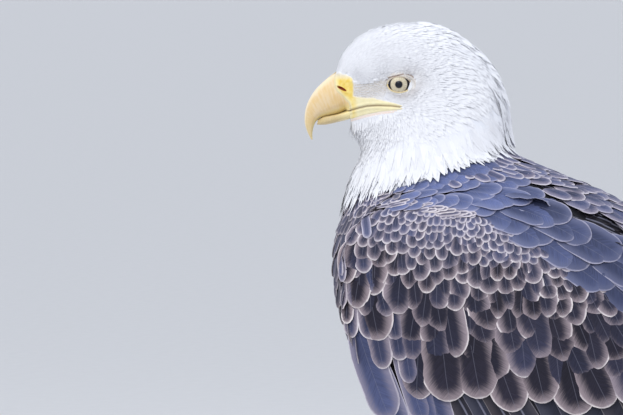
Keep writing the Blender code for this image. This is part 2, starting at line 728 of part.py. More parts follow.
def centre_on_origin(pieces):
    """Moves the whole bird sideways and lengthways, so that its box is centred over the origin."""
    points = np.array([vert.co for piece in pieces for vert in piece.data.vertices])
    lowest = points.min(0)
    middle = (lowest + points.max(0)) / 2
    shift = Matrix.Translation((-middle[0], -middle[1], -lowest[2]))
    for piece in pieces:
        piece.data.transform(shift)


def main():
    clear_scene()
    eagle = make_collection("bald_eagle")
    cutters = make_collection("cutters")
    materials = make_materials()
    body = make_body(materials, eagle, cutters)
    make_bill(materials, eagle)
    make_wings(materials, eagle, cutters, body)
    make_tail(materials, eagle)
    make_legs(materials, eagle, cutters, body["trunk"])
    centre_on_origin(list(eagle.objects))


main()
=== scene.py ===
import math

import bmesh
import bpy
import numpy as np
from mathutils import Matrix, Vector
from mathutils.bvhtree import BVHTree
from mathutils.kdtree import KDTree


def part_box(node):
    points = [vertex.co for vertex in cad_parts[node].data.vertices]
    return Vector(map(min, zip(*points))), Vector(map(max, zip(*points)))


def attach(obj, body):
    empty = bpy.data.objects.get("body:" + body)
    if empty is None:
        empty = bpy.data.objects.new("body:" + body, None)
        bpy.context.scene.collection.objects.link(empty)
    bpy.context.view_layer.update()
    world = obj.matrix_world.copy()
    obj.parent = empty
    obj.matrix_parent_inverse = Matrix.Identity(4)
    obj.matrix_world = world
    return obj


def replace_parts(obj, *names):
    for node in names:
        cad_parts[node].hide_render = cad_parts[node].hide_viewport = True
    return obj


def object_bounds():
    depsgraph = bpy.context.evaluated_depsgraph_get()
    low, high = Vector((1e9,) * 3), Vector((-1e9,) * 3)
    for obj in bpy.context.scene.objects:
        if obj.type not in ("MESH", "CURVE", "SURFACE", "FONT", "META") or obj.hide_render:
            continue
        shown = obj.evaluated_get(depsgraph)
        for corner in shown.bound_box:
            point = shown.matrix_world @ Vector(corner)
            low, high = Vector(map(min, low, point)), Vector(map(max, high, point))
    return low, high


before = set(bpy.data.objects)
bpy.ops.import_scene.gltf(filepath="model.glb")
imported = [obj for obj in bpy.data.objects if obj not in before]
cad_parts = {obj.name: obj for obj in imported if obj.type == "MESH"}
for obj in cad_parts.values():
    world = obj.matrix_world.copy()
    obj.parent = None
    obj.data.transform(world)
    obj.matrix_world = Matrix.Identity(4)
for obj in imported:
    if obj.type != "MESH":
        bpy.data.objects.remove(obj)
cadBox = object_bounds()
mm = 0.001
print("frame loaded")


def middleOf(node):
    low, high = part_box(node)
    return np.array((low + high) / 2)


def unit(vectors):
    return vectors / np.maximum(np.linalg.norm(vectors, axis=-1, keepdims=True), 1e-12)


# the head, which every other place is measured from
leftEye = middleOf("eye_left")
rightEye = middleOf("eye_right")
eyeMid = (leftEye + rightEye) / 2
eyeRadius = float(max(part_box("eye_left")[1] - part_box("eye_left")[0])) / 2
headLeft = unit(leftEye - rightEye)  # the head's own left, level
headAhead = np.array((headLeft[1], -headLeft[0], 0.0))  # along the bill, level
headTurn = math.atan2(headLeft[1], headLeft[0])
upward = np.array((0.0, 0.0, 1.0))
pivotBack = 22 * mm  # the head turns about an upright line this far behind the eyes
neckPivot = eyeMid - headAhead * pivotBack
neckTurn = {"from": 110 * mm, "over": 85 * mm}  # it turns from this far below the eyes, over this height


def headPlace(forward, up, side=0.0):
    # a place in the head's own directions, from the point between the eyes
    forward, up, side = np.broadcast_arrays(forward, up, side)
    return eyeMid + forward[..., None] * headAhead + up[..., None] * upward + side[..., None] * headLeft


def inHead(places):
    # forward, up and side of each place in the head's own directions
    away = places - eyeMid
    return away @ headAhead, away[:, 2], away @ headLeft


def turnAt(up):
    # how far the neck has turned at a height: whole at the head, none at the body
    share = np.clip((up + neckTurn["from"]) / neckTurn["over"], 0, 1)
    return headTurn * share * share * (3 - 2 * share)


def inProfile(points):
    # forward, up and side of each point, straightened along the turned neck, with the turn itself
    up = points[:, 2] - eyeMid[2]
    turn = turnAt(up)
    away = points[:, :2] - neckPivot[:2]
    forward = away[:, 0] * np.sin(turn) - away[:, 1] * np.cos(turn) - pivotBack
    side = away[:, 0] * np.cos(turn) + away[:, 1] * np.sin(turn)
    return forward, up, side, turn


# the lie of the coat: forward, up (mm from the eyes), lie (degrees down from straight back), then mm: length,
# width, depth of the coat, and how far the tips stand off it
coatGuide = (
    (54, 20, -62, 6, 1.8, 0.5, 0.1),
    (40, 38, -40, 9, 2.6, 0.8, 0.3),
    (14, 51, -10, 14, 3.6, 1.6, 0.12),
    (-24, 54, 8, 19, 4.8, 1.8, 0.15),
    (-58, 42, 28, 28, 6.4, 2.0, 0.2),
    (-84, 14, 52, 36, 8.0, 2.0, 0.25),
    (-96, -18, 66, 44, 9.0, 2.2, 0.3),
    (-104, -52, 66, 50, 10.0, 2.2, 0.3),
    (34, 14, -16, 6, 1.8, 0.5, 0.1),
    (8, 17, -6, 8, 2.3, 0.6, 0.1),
    (36, 5, -4, 5, 1.6, 0.5, 0.8),
    (22, 8, -2, 6, 1.8, 0.5, 1.2),
    (6, 11, 0, 7, 2.0, 0.5, 1.2),
    (-14, 10, -6, 9, 2.2, 0.6, 0.8),
    (-20, 14, -8, 12, 3.0, 1.4, 0.3),
    (28, -4, 2, 4, 1.0, 0.4, 0.1),
    (16, -12, 16, 5, 1.2, 0.5, 0.1),
    (-16, -2, -2, 8, 2.2, 0.9, 0.1),
    (0, -15, 24, 6, 1.7, 0.7, 0.2),
    (-22, -18, 16, 14, 3.4, 1.0, 0.1),
    (-50, 0, 16, 22, 5.0, 1.8, 0.2),
    (-50, -40, 42, 30, 6.4, 1.8, 0.15),
    (-12, -36, 58, 16, 3.4, 1.0, 0.1),
    (18, -34, 78, 10, 2.2, 1.0, 0.6),
    (42, -37, 86, 12, 2.2, 1.4, 2.0),
    (30, -54, 84, 18, 3.6, 1.4, 0.6),
    (0, -68, 80, 30, 6.0, 1.6, 0.1),
    (40, -88, 94, 38, 7.4, 2.2, 0.5),
    (0, -104, 84, 46, 9.4, 2.4, 0.1),
    (-60, -84, 64, 46, 9.4, 2.4, 0.2),
    (52, -140, 92, 46, 15, 6.5, 1.2),
    (54, -200, 90, 46, 18, 7.0, 1.2),
    (20, -280, 78, 44, 18, 7.0, 1.2),
    (-40, -350, 60, 42, 17, 7.0, 1.5),
    (-120, -384, 36, 40, 16, 6.0, 1.5),
    (-230, -384, 22, 40, 15, 6.0, 1.5),
    (-320, -404, 36, 60, 17, 5.0, 0.5),
    (-390, -416, 50, 60, 18, 4.0, 0.0),
    (-126, -74, 26, 26, 13.5, 3.4, 0.3),
    (-165, -90, 30, 32, 16, 3.8, 0.3),
    (-220, -115, 34, 40, 17, 4.4, 0.5),
    (-270, -165, 44, 50, 24, 5.0, 0.6),
    (-316, -240, 50, 52, 24, 5.0, 0.6),
    (-350, -308, 54, 60, 22, 4.5, 0.6),
    (-390, -372, 54, 60, 22, 4.0, 0.6),
    (-130, -330, 78, 40, 13, 6.0, 0.6),
    (-140, -420, 88, 36, 10, 5.0, 0.6),
    (-142, -520, 90, 26, 7, 3.5, 0.6),
    (-143, -565, 90, 16, 5, 2.5, 0.6),
)
guideBlend = 30  # square mm: more blends the rows more softly
hackleLine = {"height": -61 * mm, "back": 105 * mm, "slope": 0.39}  # where the white of the neck ends
whiteTail = {"back": 338 * mm, "below": 292 * mm}  # where the white of the tail begins


def readGuide(points):
    # the coat at each point, blended from the nearest guide rows: its flow, length, width, depth and stand
    forward, up, side, turn = inProfile(points)
    rows = np.array(coatGuide, float)
    apart = (forward[:, None] / mm - rows[:, 0]) ** 2 + (up[:, None] / mm - rows[:, 1]) ** 2
    weights = 1 / (apart + guideBlend) ** 2
    weights /= weights.sum(1, keepdims=True)
    lie = np.radians(rows[:, 2])
    back = weights @ np.cos(lie)
    down = weights @ np.sin(lie)
    flow = np.stack([-np.sin(turn) * back, np.cos(turn) * back, -down], 1)
    sizes = np.exp(weights @ np.log(rows[:, 3:6])) * mm
    return unit(flow), sizes[:, 0], sizes[:, 1], sizes[:, 2], (weights @ rows[:, 6]) * mm


def whiteEdge(forward):
    # height of the hackles' lower edge: lowest at the throat, highest at the nape
    return hackleLine["height"] - (forward + hackleLine["back"]) * hackleLine["slope"]


def isWhite(points):
    forward, up, side, turn = inProfile(points)
    return (up > whiteEdge(forward)) | (forward < -whiteTail["back"]) & (up < -whiteTail["below"])


def placesOf(mesh):
    places = np.zeros(len(mesh.vertices) * 3, np.float32)
    mesh.vertices.foreach_get("co", places)
    return places.reshape(-1, 3).astype(float)


def normalsOf(mesh):
    return np.array([n.vector for n in mesh.vertex_normals])


def movePlaces(mesh, places):
    mesh.vertices.foreach_set("co", places.astype(np.float32).ravel())


def newObject(name, data):
    made = bpy.data.objects.new(name, data)
    bpy.context.scene.collection.objects.link(made)
    return made


def asMesh(work, name):
    # a bmesh turned into a mesh
    mesh = bpy.data.meshes.new(name)
    work.to_mesh(mesh)
    work.free()
    return mesh


class Surface:
    # a mesh with smooth normals that finds the nearest place on itself
    def __init__(self, mesh):
        self.places = placesOf(mesh)
        mesh.calc_loop_triangles()
        triangles = np.zeros(len(mesh.loop_triangles) * 3, np.int32)
        mesh.loop_triangles.foreach_get("vertices", triangles)
        self.triangles = triangles.reshape(-1, 3)
        self.normals = unit(normalsOf(mesh)[self.triangles].mean(1))
        corners = self.places[self.triangles]
        self.middles = corners.mean(1)
        across = np.cross(corners[:, 1] - corners[:, 0], corners[:, 2] - corners[:, 0])
        self.areas = np.linalg.norm(across, axis=1) / 2
        self.tree = BVHTree.FromPolygons(self.places.tolist(), self.triangles.tolist())

    def nearest(self, points):
        # nearest places, their normals and distances
        found = [self.tree.find_nearest(point) for point in points.tolist()]
        places = np.array([f[0] for f in found])
        normals = self.normals[[f[2] for f in found]]
        return places, normals, np.array([f[3] for f in found])

    def castFrom(self, points, directions, far=0.35):
        # where a ray meets the surface, or where it misses, the place nearest to its point this far along
        places = []
        faces = []
        for point, direction in zip(points.tolist(), directions.tolist()):
            hit = self.tree.ray_cast(point, direction)
            if hit[0] is None:
                hit = self.tree.find_nearest(Vector(point) + Vector(direction) * far)
            places.append(hit[0])
            faces.append(hit[2])
        return np.array(places), self.normals[faces]


def joinedNodes(nodes, grow=0.0):
    # the CAD solids as one mesh, each grown a little so that they meet
    work = bmesh.new()
    for node in nodes:
        work.from_mesh(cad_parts[node].data)
    bmesh.ops.remove_doubles(work, verts=work.verts, dist=1e-6)
    bmesh.ops.recalc_face_normals(work, faces=work.faces)
    work.normal_update()
    moves = [(vert, vert.normal.copy()) for vert in work.verts]
    for vert, normal in moves:
        vert.co += normal * grow
    return asMesh(work, "joined")


def shaped(mesh, *modifiers):
    # the mesh after its modifiers, each given as a kind and its settings
    made = newObject("shaped", mesh)
    for kind, settings in modifiers:
        modifier = made.modifiers.new(kind, kind)
        for label, value in settings.items():
            setattr(modifier, label, value)
    graph = bpy.context.evaluated_depsgraph_get()
    result = bpy.data.meshes.new_from_object(made.evaluated_get(graph))
    bpy.data.objects.remove(made)
    return result


def remeshed(nodes, look):
    # the solids of some nodes as one even, smooth mesh
    voxels = {"mode": "VOXEL", "voxel_size": look["voxel"]}
    smoothing = {"factor": 0.5, "iterations": look["smoothing"]}
    return shaped(joinedNodes(nodes, look["grow"]), ("REMESH", voxels), ("SMOOTH", smoothing))


hands = ("left", "right")
toes = ("inner", "middle", "outer", "hind")
fleshNodes = ["head", "neck", "trunk", "tail_root", "thigh_left", "thigh_right"]
bodyNodes = fleshNodes + ["eye_left", "eye_right", "cere"]
wingNodes = ["wing_left_coverts", "wing_right_coverts"]
flightNodes = [f"wing_{hand}_{part}" for hand in hands for part in ("primaries", "secondaries")]
footNodes = [f"shank_{hand}" for hand in hands] + [f"{toe}_toe_{hand}" for toe in toes for hand in hands]
fleshLook = {"voxel": 2.2 * mm, "smoothing": 5, "grow": 0.4 * mm}
wholeLook = {"voxel": 2.4 * mm, "smoothing": 6, "grow": 1.0 * mm}
fleshMesh = remeshed(bodyNodes + wingNodes, fleshLook)
flesh = Surface(fleshMesh)
whole = Surface(remeshed(bodyNodes + wingNodes + flightNodes, wholeLook))  # to lay the wings' coverts on
bodySolid = Surface(joinedNodes(bodyNodes))
wingSolid = Surface(joinedNodes(wingNodes))
print("flesh", len(fleshMesh.polygons), "faces")


def nearWing(points):
    # whether points are nearer to the wings than to the body
    return wingSolid.nearest(points)[2] < bodySolid.nearest(points)[2]


def keepInside(mesh):
    # no tip passes the CAD's own extent
    low, high = (np.array(corner) for corner in cadBox)
    movePlaces(mesh, np.clip(placesOf(mesh), low + 0.02 * mm, high - 0.02 * mm))
    mesh.update()


def newPiece(name, mesh, material):
    keepInside(mesh)
    made = newObject(name, mesh)
    mesh.name = name
    mesh.materials.append(material)
    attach(made, "root")
    return made


def meshFrom(name, places, faceLists):
    # a smooth mesh from places and faces, given as arrays of faces with equal corner counts
    mesh = bpy.data.meshes.new(name)
    mesh.vertices.add(len(places))
    mesh.vertices.foreach_set("co", np.ascontiguousarray(places, np.float32).ravel())
    corners = np.concatenate([faces.ravel() for faces in faceLists])
    counts = np.concatenate([np.full(len(faces), faces.shape[1]) for faces in faceLists])
    mesh.loops.add(len(corners))
    mesh.loops.foreach_set("vertex_index", corners.astype(np.int32))
    mesh.polygons.add(len(counts))
    mesh.polygons.foreach_set("loop_start", (np.cumsum(counts) - counts).astype(np.int32))
    mesh.update(calc_edges=True)
    mesh.shade_smooth()
    return mesh


def ringQuads(rings, around):
    # faces between rings of points, each ring closed on itself
    grid = np.arange(rings * around).reshape(rings, around)
    corners = [grid[:-1], grid[1:], np.roll(grid[1:], -1, 1), np.roll(grid[:-1], -1, 1)]
    return np.stack(corners, -1).reshape(-1, 4)


def addVectors(mesh, name, values):
    layer = mesh.attributes.new(name, "FLOAT_VECTOR", "POINT")
    layer.data.foreach_set("vector", np.ascontiguousarray(values, np.float32).ravel())


def addNumbers(mesh, name, values):
    layer = mesh.attributes.new(name, "FLOAT", "POINT")
    layer.data.foreach_set("value", values.astype(np.float32))


def newMaterial(name, roughness, specular=0.5):
    material = bpy.data.materials.new(name)
    material.use_nodes = True
    tree = material.node_tree
    shader = tree.nodes["Principled BSDF"]
    shader.inputs["Roughness"].default_value = roughness
    shader.inputs["Specular IOR Level"].default_value = specular
    return material, tree, shader


def node(tree, kind, **values):
    made = tree.nodes.new(kind)
    for name, value in values.items():
        setattr(made, name, value)
    return made


def feed(tree, socket, value):
    # sets a socket to a number or a colour, or links another socket to it
    if isinstance(value, (int, float)):
        socket.default_value = value
    elif isinstance(value, tuple):
        socket.default_value = (*value, 1.0)
    else:
        tree.links.new(value, socket)


def maths(tree, operation, *values):
    made = node(tree, "ShaderNodeMath", operation=operation)
    for socket, value in zip(made.inputs, values):
        feed(tree, socket, value)
    return made.outputs[0]


def ramp(tree, value, low, high, lowTo=0.0, highTo=1.0):
    # a value eased from one range to another
    made = node(tree, "ShaderNodeMapRange", interpolation_type="SMOOTHSTEP")
    labels = ("Value", "From Min", "From Max", "To Min", "To Max")
    for label, given in zip(labels, (value, low, high, lowTo, highTo)):
        feed(tree, made.inputs[label], given)
    return made.outputs["Result"]


def mixColour(tree, share, one, other, blend="MIX"):
    made = node(tree, "ShaderNodeMix", data_type="RGBA", blend_type=blend)
    for number, value in zip((0, 6, 7), (share, one, other)):
        feed(tree, made.inputs[number], value)
    return made.outputs[2]


def noise(tree, vector, scale, detail=2.0, rough=0.5):
    made = node(tree, "ShaderNodeTexNoise")
    for label, value in (("Vector", vector), ("Scale", scale), ("Detail", detail), ("Roughness", rough)):
        feed(tree, made.inputs[label], value)
    return made.outputs["Fac"]


def joinXyz(tree, *values):
    made = node(tree, "ShaderNodeCombineXYZ")
    for socket, value in zip(made.inputs, values):
        feed(tree, socket, value)
    return made.outputs[0]


def shaded(tree, colour, tone):
    # a colour made lighter or darker by a tone
    return mixColour(tree, 1.0, colour, joinXyz(tree, tone, tone, tone), "MULTIPLY")


def partsOf(tree, name):
    # the three numbers of a vector kept on the mesh
    parts = node(tree, "ShaderNodeSeparateXYZ")
    tree.links.new(node(tree, "ShaderNodeAttribute", attribute_name=name).outputs["Vector"], parts.inputs[0])
    return tuple(parts.outputs)


def placeOn(tree):
    return node(tree, "ShaderNodeTexCoord").outputs["Object"]


def dress(tree, shader, colour, height, strength, distance):
    # gives a shader its colour, and a relief of some height
    tree.links.new(colour, shader.inputs["Base Color"])
    relief = node(tree, "ShaderNodeBump")
    for label, value in (("Strength", strength), ("Distance", distance), ("Height", height)):
        feed(tree, relief.inputs[label], value)
    tree.links.new(relief.outputs["Normal"], shader.inputs["Normal"])


def newGroup(name, inputs, outputs):
    group = bpy.data.node_groups.new(name, "ShaderNodeTree")
    for label, value in inputs.items():
        socket = group.interface.new_socket(label, in_out="INPUT", socket_type="NodeSocketFloat")
        socket.default_value = value
    for label in outputs:
        group.interface.new_socket(label, in_out="OUTPUT", socket_type="NodeSocketFloat")
    start = group.nodes.new("NodeGroupInput")
    end = group.nodes.new("NodeGroupOutput")
    return group, start, end


def useGroup(tree, group, **values):
    made = node(tree, "ShaderNodeGroup", node_tree=group)
    for label, value in values.items():
        made.inputs[label.replace("_", " ")].default_value = value
    return made.outputs


def makeVaneGroup():
    # what a feather's surface shows: its pale rim, its softer margin, its shaft, its barbs and its own tone
    inputs = {
        "Rim Width": 1.5 * mm, "Rim Fray": 0.8, "Rim Least": 0.6, "Margin Share": 0.8,
        "Shaft Width": 0.5 * mm, "Barb Slant": 1.1, "Barb Size": 0.8 * mm,
    }
    outputs = ("Rim", "Margin", "Shaft", "Barbs", "Tone", "Mark", "Along")
    group, start, end = newGroup("feather vane", inputs, outputs)
    beside, far, tone = partsOf(group, "vane")
    edge, mark, share = partsOf(group, "coat")
    across = maths(group, "ABSOLUTE", beside)
    along = maths(group, "SUBTRACT", far, maths(group, "MULTIPLY", across, start.outputs["Barb Slant"]))
    perBarb = maths(group, "DIVIDE", 1.0, start.outputs["Barb Size"])
    fine = joinXyz(
        group, maths(group, "MULTIPLY", beside, 60.0), maths(group, "MULTIPLY", along, perBarb),
        maths(group, "MULTIPLY", tone, 40.0),
    )
    barbs = noise(group, fine, 1.0, 3.0, 0.6)
    uneven = maths(group, "SUBTRACT", barbs, 0.5)
    fray = maths(group, "ADD", maths(group, "MULTIPLY", uneven, start.outputs["Rim Fray"]), 1.0)
    reach = maths(group, "MULTIPLY", start.outputs["Rim Width"], fray)
    wider = ramp(group, share, 0.4, 1.0, 0.55, 1.25)  # towards the tip
    reach = maths(group, "MAXIMUM", maths(group, "MULTIPLY", reach, wider), 0.0001)
    patchy = ramp(group, noise(group, placeOn(group), 70.0), 0.38, 0.6, start.outputs["Rim Least"], 1.0)
    rim = ramp(group, maths(group, "DIVIDE", edge, reach), 0.1, 1.2, 1.0, 0.0)
    size = node(group, "ShaderNodeAttribute", attribute_name="size").outputs["Fac"]
    broad = maths(group, "POWER", maths(group, "MULTIPLY", size, 1000.0), 0.7)  # broader on broad feathers
    inward = maths(group, "DIVIDE", edge, maths(group, "MULTIPLY", broad, 2.3 * mm))
    softened = maths(group, "ADD", inward, maths(group, "MULTIPLY", uneven, 0.5))
    nearShaft = maths(group, "DIVIDE", across, start.outputs["Shaft Width"])
    made = {
        "Rim": maths(group, "MULTIPLY", rim, patchy),
        "Margin": ramp(group, softened, 0.02, start.outputs["Margin Share"], 1.0, 0.0),
        "Shaft": ramp(group, nearShaft, 0.5, 1.2, 1.0, 0.0),
        "Barbs": barbs, "Tone": tone, "Mark": mark, "Along": share,
    }
    for label in outputs:
        group.links.new(made[label], end.inputs[label])
    return group


vaneGroup = makeVaneGroup()


def makeWhiteFeathers():
    # white vanes, greyer at the root, partly the down's own grey and partly painted shade where they lie
    # under others, and grey where Mark says
    material, tree, shader = newMaterial("white feathers", 0.75, 0.2)
    vane = useGroup(tree, vaneGroup, Barb_Size=0.7 * mm, Barb_Slant=3.0, Shaft_Width=0.3 * mm)
    shade = ramp(tree, vane["Along"], 0.0, 0.55)
    colour = mixColour(tree, shade, (0.715, 0.73, 0.775), (0.772, 0.775, 0.80))
    colour = mixColour(tree, vane["Mark"], colour, (0.46, 0.43, 0.42))
    streak = ramp(tree, vane["Barbs"], 0.3, 0.7, 0.95, 1.0)
    tone = maths(tree, "MULTIPLY", streak, ramp(tree, vane["Tone"], 0.0, 1.0, 0.93, 1.0))
    dress(tree, shader, shaded(tree, colour, tone), vane["Barbs"], 0.1, 0.3 * mm)
    return material


def makeDarkFeathers(name, look):
    # slate or brown vanes with a pale rim and a thin shaft; Mark turns them from slate to brown. The slate's
    # blue is partly painted sheen, the sky's reflection laid into the base colour.
    material, tree, shader = newMaterial(name, look["roughness"], 0.13)
    vane = useGroup(
        tree, vaneGroup, Rim_Width=look["rimWidth"], Rim_Fray=look["rimFray"], Barb_Size=look["barbSize"],
        Barb_Slant=look["barbSlant"], Shaft_Width=look["shaftWidth"], Margin_Share=look["marginShare"],
    )
    centre, margin, edge = (
        mixColour(tree, vane["Mark"], look["slate" + part], look["brown" + part])
        for part in ("", "Margin", "Rim")
    )
    tone = ramp(tree, vane["Tone"], 0.0, 1.0, *look["toneRange"])
    tone = maths(tree, "MULTIPLY", ramp(tree, vane["Barbs"], 0.25, 0.75, 0.72, 1.28), tone)
    # darker towards the root, where each feather lies under the next: painted shade
    tone = maths(tree, "MULTIPLY", tone, ramp(tree, vane["Along"], 0.35, 1.0, 0.72, 1.14))
    colour = mixColour(tree, vane["Margin"], shaded(tree, centre, tone), margin)
    rim = maths(tree, "MULTIPLY", vane["Rim"], look["rimShare"])
    shaft = maths(tree, "MULTIPLY", vane["Shaft"], look["shaftShare"])
    colour = mixColour(tree, shaft, mixColour(tree, rim, colour, edge), look["shaft"])
    height = maths(tree, "ADD", vane["Barbs"], maths(tree, "MULTIPLY", vane["Shaft"], 1.5))
    dress(tree, shader, colour, height, look["bump"], 0.4 * mm)
    return material


# the slate colours are partly painted sheen: the sky's blue reflection on dark feathers, laid into their
# colour
darkLook = {
    "roughness": 0.5, "rimWidth": 1.75 * mm, "rimFray": 1.1, "barbSize": 0.9 * mm, "barbSlant": 0.9,
    "shaftWidth": 0.35 * mm, "slate": (0.098, 0.122, 0.255), "brown": (0.018, 0.016, 0.027),
    "slateMargin": (0.15, 0.17, 0.29), "brownMargin": (0.30, 0.243, 0.262),
    "slateRim": (0.36, 0.35, 0.47), "brownRim": (0.82, 0.75, 0.74), "rimShare": 0.9,
    "shaft": (0.20, 0.20, 0.26), "shaftShare": 0.28, "toneRange": (0.8, 1.2), "bump": 0.3,
    "marginShare": 0.68,
}
shoulderLook = dict(
    darkLook, brown=(0.028, 0.032, 0.062), brownMargin=(0.085, 0.09, 0.15), brownRim=(0.40, 0.38, 0.46),
)
breastLook = dict(
    darkLook, slate=(0.07, 0.08, 0.15), brown=(0.020, 0.018, 0.026), slateMargin=(0.13, 0.135, 0.20),
    brownMargin=(0.17, 0.14, 0.155), slateRim=(0.36, 0.34, 0.42), brownRim=(0.50, 0.44, 0.43),
    rimWidth=1.3 * mm,
)
flightLook = dict(
    darkLook, slate=(0.045, 0.05, 0.085), brown=(0.03, 0.027, 0.036), slateMargin=(0.055, 0.06, 0.09),
    brownMargin=(0.055, 0.045, 0.05), rimWidth=1.2 * mm, rimShare=0.35,
    shaftWidth=0.9 * mm, shaftShare=0.7, roughness=0.42,
)
# near-black feathers that paint the shadow in the gap beside the shoulder
gapShadeLook = dict(
    flightLook, slate=(0.010, 0.010, 0.014), brown=(0.009, 0.009, 0.013), slateMargin=(0.016, 0.016, 0.022),
    brownMargin=(0.016, 0.014, 0.019), slateRim=(0.10, 0.10, 0.13), brownRim=(0.10, 0.09, 0.10),
)
tailLook = dict(
    darkLook, slate=(0.86, 0.87, 0.90), brown=(0.80, 0.78, 0.74), slateMargin=(0.88, 0.89, 0.92),
    brownMargin=(0.84, 0.82, 0.78), slateRim=(0.93, 0.93, 0.95), brownRim=(0.93, 0.93, 0.95),
    shaft=(0.88, 0.86, 0.80), shaftWidth=0.9 * mm, toneRange=(0.94, 1.0), roughness=0.6,
)
whiteFeathers = makeWhiteFeathers()
darkFeathers = makeDarkFeathers("dark feathers", darkLook)
shoulderFeathers = makeDarkFeathers("shoulder feathers", shoulderLook)
breastFeathers = makeDarkFeathers("breast feathers", breastLook)
flightFeathers = makeDarkFeathers("flight feathers", flightLook)
gapShadeFeathers = makeDarkFeathers("gap shade feathers", gapShadeLook)
tailFeathers = makeDarkFeathers("tail feathers", tailLook)
print("feather materials made")


def makeSkinMaterial():
    # pale under the white coat and near-black under the dark one, that black being painted shade for the gaps
    # between its feathers; grey-buff and finely wrinkled on the bare lore, yellow at the mouth
    material, tree, shader = newMaterial("skin", 0.6, 0.25)
    pale, lore, yellow = partsOf(tree, "marks")
    nostril, creaseShade, pink = partsOf(tree, "face")
    lip = ramp(tree, node(tree, "ShaderNodeAttribute", attribute_name="lip").outputs["Fac"], 0.0, 1.0)
    fine = noise(tree, placeOn(tree), 900.0, 3.0)
    tint = noise(tree, placeOn(tree), 260.0, 3.0)
    grey = mixColour(tree, ramp(tree, fine, 0.35, 0.65), (0.50, 0.465, 0.43), (0.64, 0.605, 0.565))
    deep = mixColour(tree, ramp(tree, tint, 0.3, 0.7), (0.74, 0.53, 0.10), (0.80, 0.63, 0.21))
    light = mixColour(tree, tint, (0.74, 0.65, 0.36), (0.80, 0.74, 0.50))
    # near-black where the dark coat lies over it: painted shade between its feathers
    colour = mixColour(tree, pale, (0.008, 0.008, 0.011), (0.80, 0.805, 0.83))
    colour = mixColour(tree, lore, colour, grey)
    colour = mixColour(tree, pink, colour, (0.78, 0.62, 0.52))
    colour = mixColour(tree, yellow, colour, mixColour(tree, lip, deep, light))
    # darker in the creases of the mouth, the horn's seam and the lid's fold: painted shade
    colour = mixColour(tree, maths(tree, "MULTIPLY", creaseShade, 0.75), colour, (0.20, 0.11, 0.07))
    colour = mixColour(tree, nostril, colour, (0.26, 0.04, 0.012))
    dress(tree, shader, colour, fine, 0.4, 0.5 * mm)
    return material


skinMaterial = makeSkinMaterial()


def capRows(look, lengths, widths):
    # shares along each feather: evenly to where its tip rounds off, then closer together; and where that is
    tipStart = np.clip(1 - look["tipRound"] * widths / lengths, look["tipLeast"], 0.95)
    body = np.linspace(0, 1, look["bodyRows"], endpoint=False)[None, :] * tipStart[:, None]
    rounding = np.sin(np.linspace(0, math.pi / 2, look["tipRows"]))[None, :]
    return np.concatenate([body, rounding * (1 - tipStart)[:, None] + tipStart[:, None]], 1), tipStart


def halfShares(along, tipStart, rootShare, point):
    # half width over the feather's greatest: a narrow root, then a rounded (point 0) or pointed (point 1) tip
    past = np.clip((along - tipStart[:, None]) / (1 - tipStart[:, None]), 0, 1)
    rounded = np.sqrt(np.clip(1 - past**2, 0, 1))
    pointed = 1 - past**1.5
    growth = rootShare + (1 - rootShare) * np.sin(np.clip(along / 0.45, 0, 1) * math.pi / 2)
    return growth * (rounded * (1 - point) + pointed * point)


def lay(surface, roots, normals, lengths, along, flowAt, yaw):
    # paths over a surface, from each root along the flow, with the surface's normals
    place = roots
    normal = normals
    paths = [place]
    up = [normal]
    for row in range(1, along.shape[1]):
        flow = flowAt(place)
        flow = unit(flow - (flow * normal).sum(1, keepdims=True) * normal)
        sideways = np.cross(normal, flow)
        flow = flow * np.cos(yaw)[:, None] + sideways * np.sin(yaw)[:, None]
        step = (along[:, row] - along[:, row - 1]) * lengths
        place, normal, away = surface.nearest(place + flow * step[:, None])
        paths.append(place)
        up.append(normal)
    return np.stack(paths, 1), np.stack(up, 1)


def tuftPatches(roots, size=0.003):
    # each tuft a small patch at its root's place on the unwrap, which fills the whole square
    low = roots.min(0)
    span = np.maximum(roots.max(0) - low, 1e-6)
    return 0.005 + (roots - low) / span * 0.99, (size, size)


def widePatches(roots, ratio):
    # each broad feather a patch of its own, kept in the order of the roots' places on the unwrap
    columns = math.ceil(math.sqrt(len(roots) * ratio))
    rows = math.ceil(len(roots) / columns)
    order = np.argsort(roots[:, 1], kind="stable")
    placed = np.zeros((len(roots), 2))
    for row in range(rows):
        chosen = order[row * columns:(row + 1) * columns]
        chosen = chosen[np.argsort(roots[chosen, 0], kind="stable")]
        placed[chosen, 0] = (np.arange(len(chosen)) + 0.5) / len(chosen)
        placed[chosen, 1] = (row + 0.5) / rows
    return placed, (0.94 / columns, 0.94 / rows)


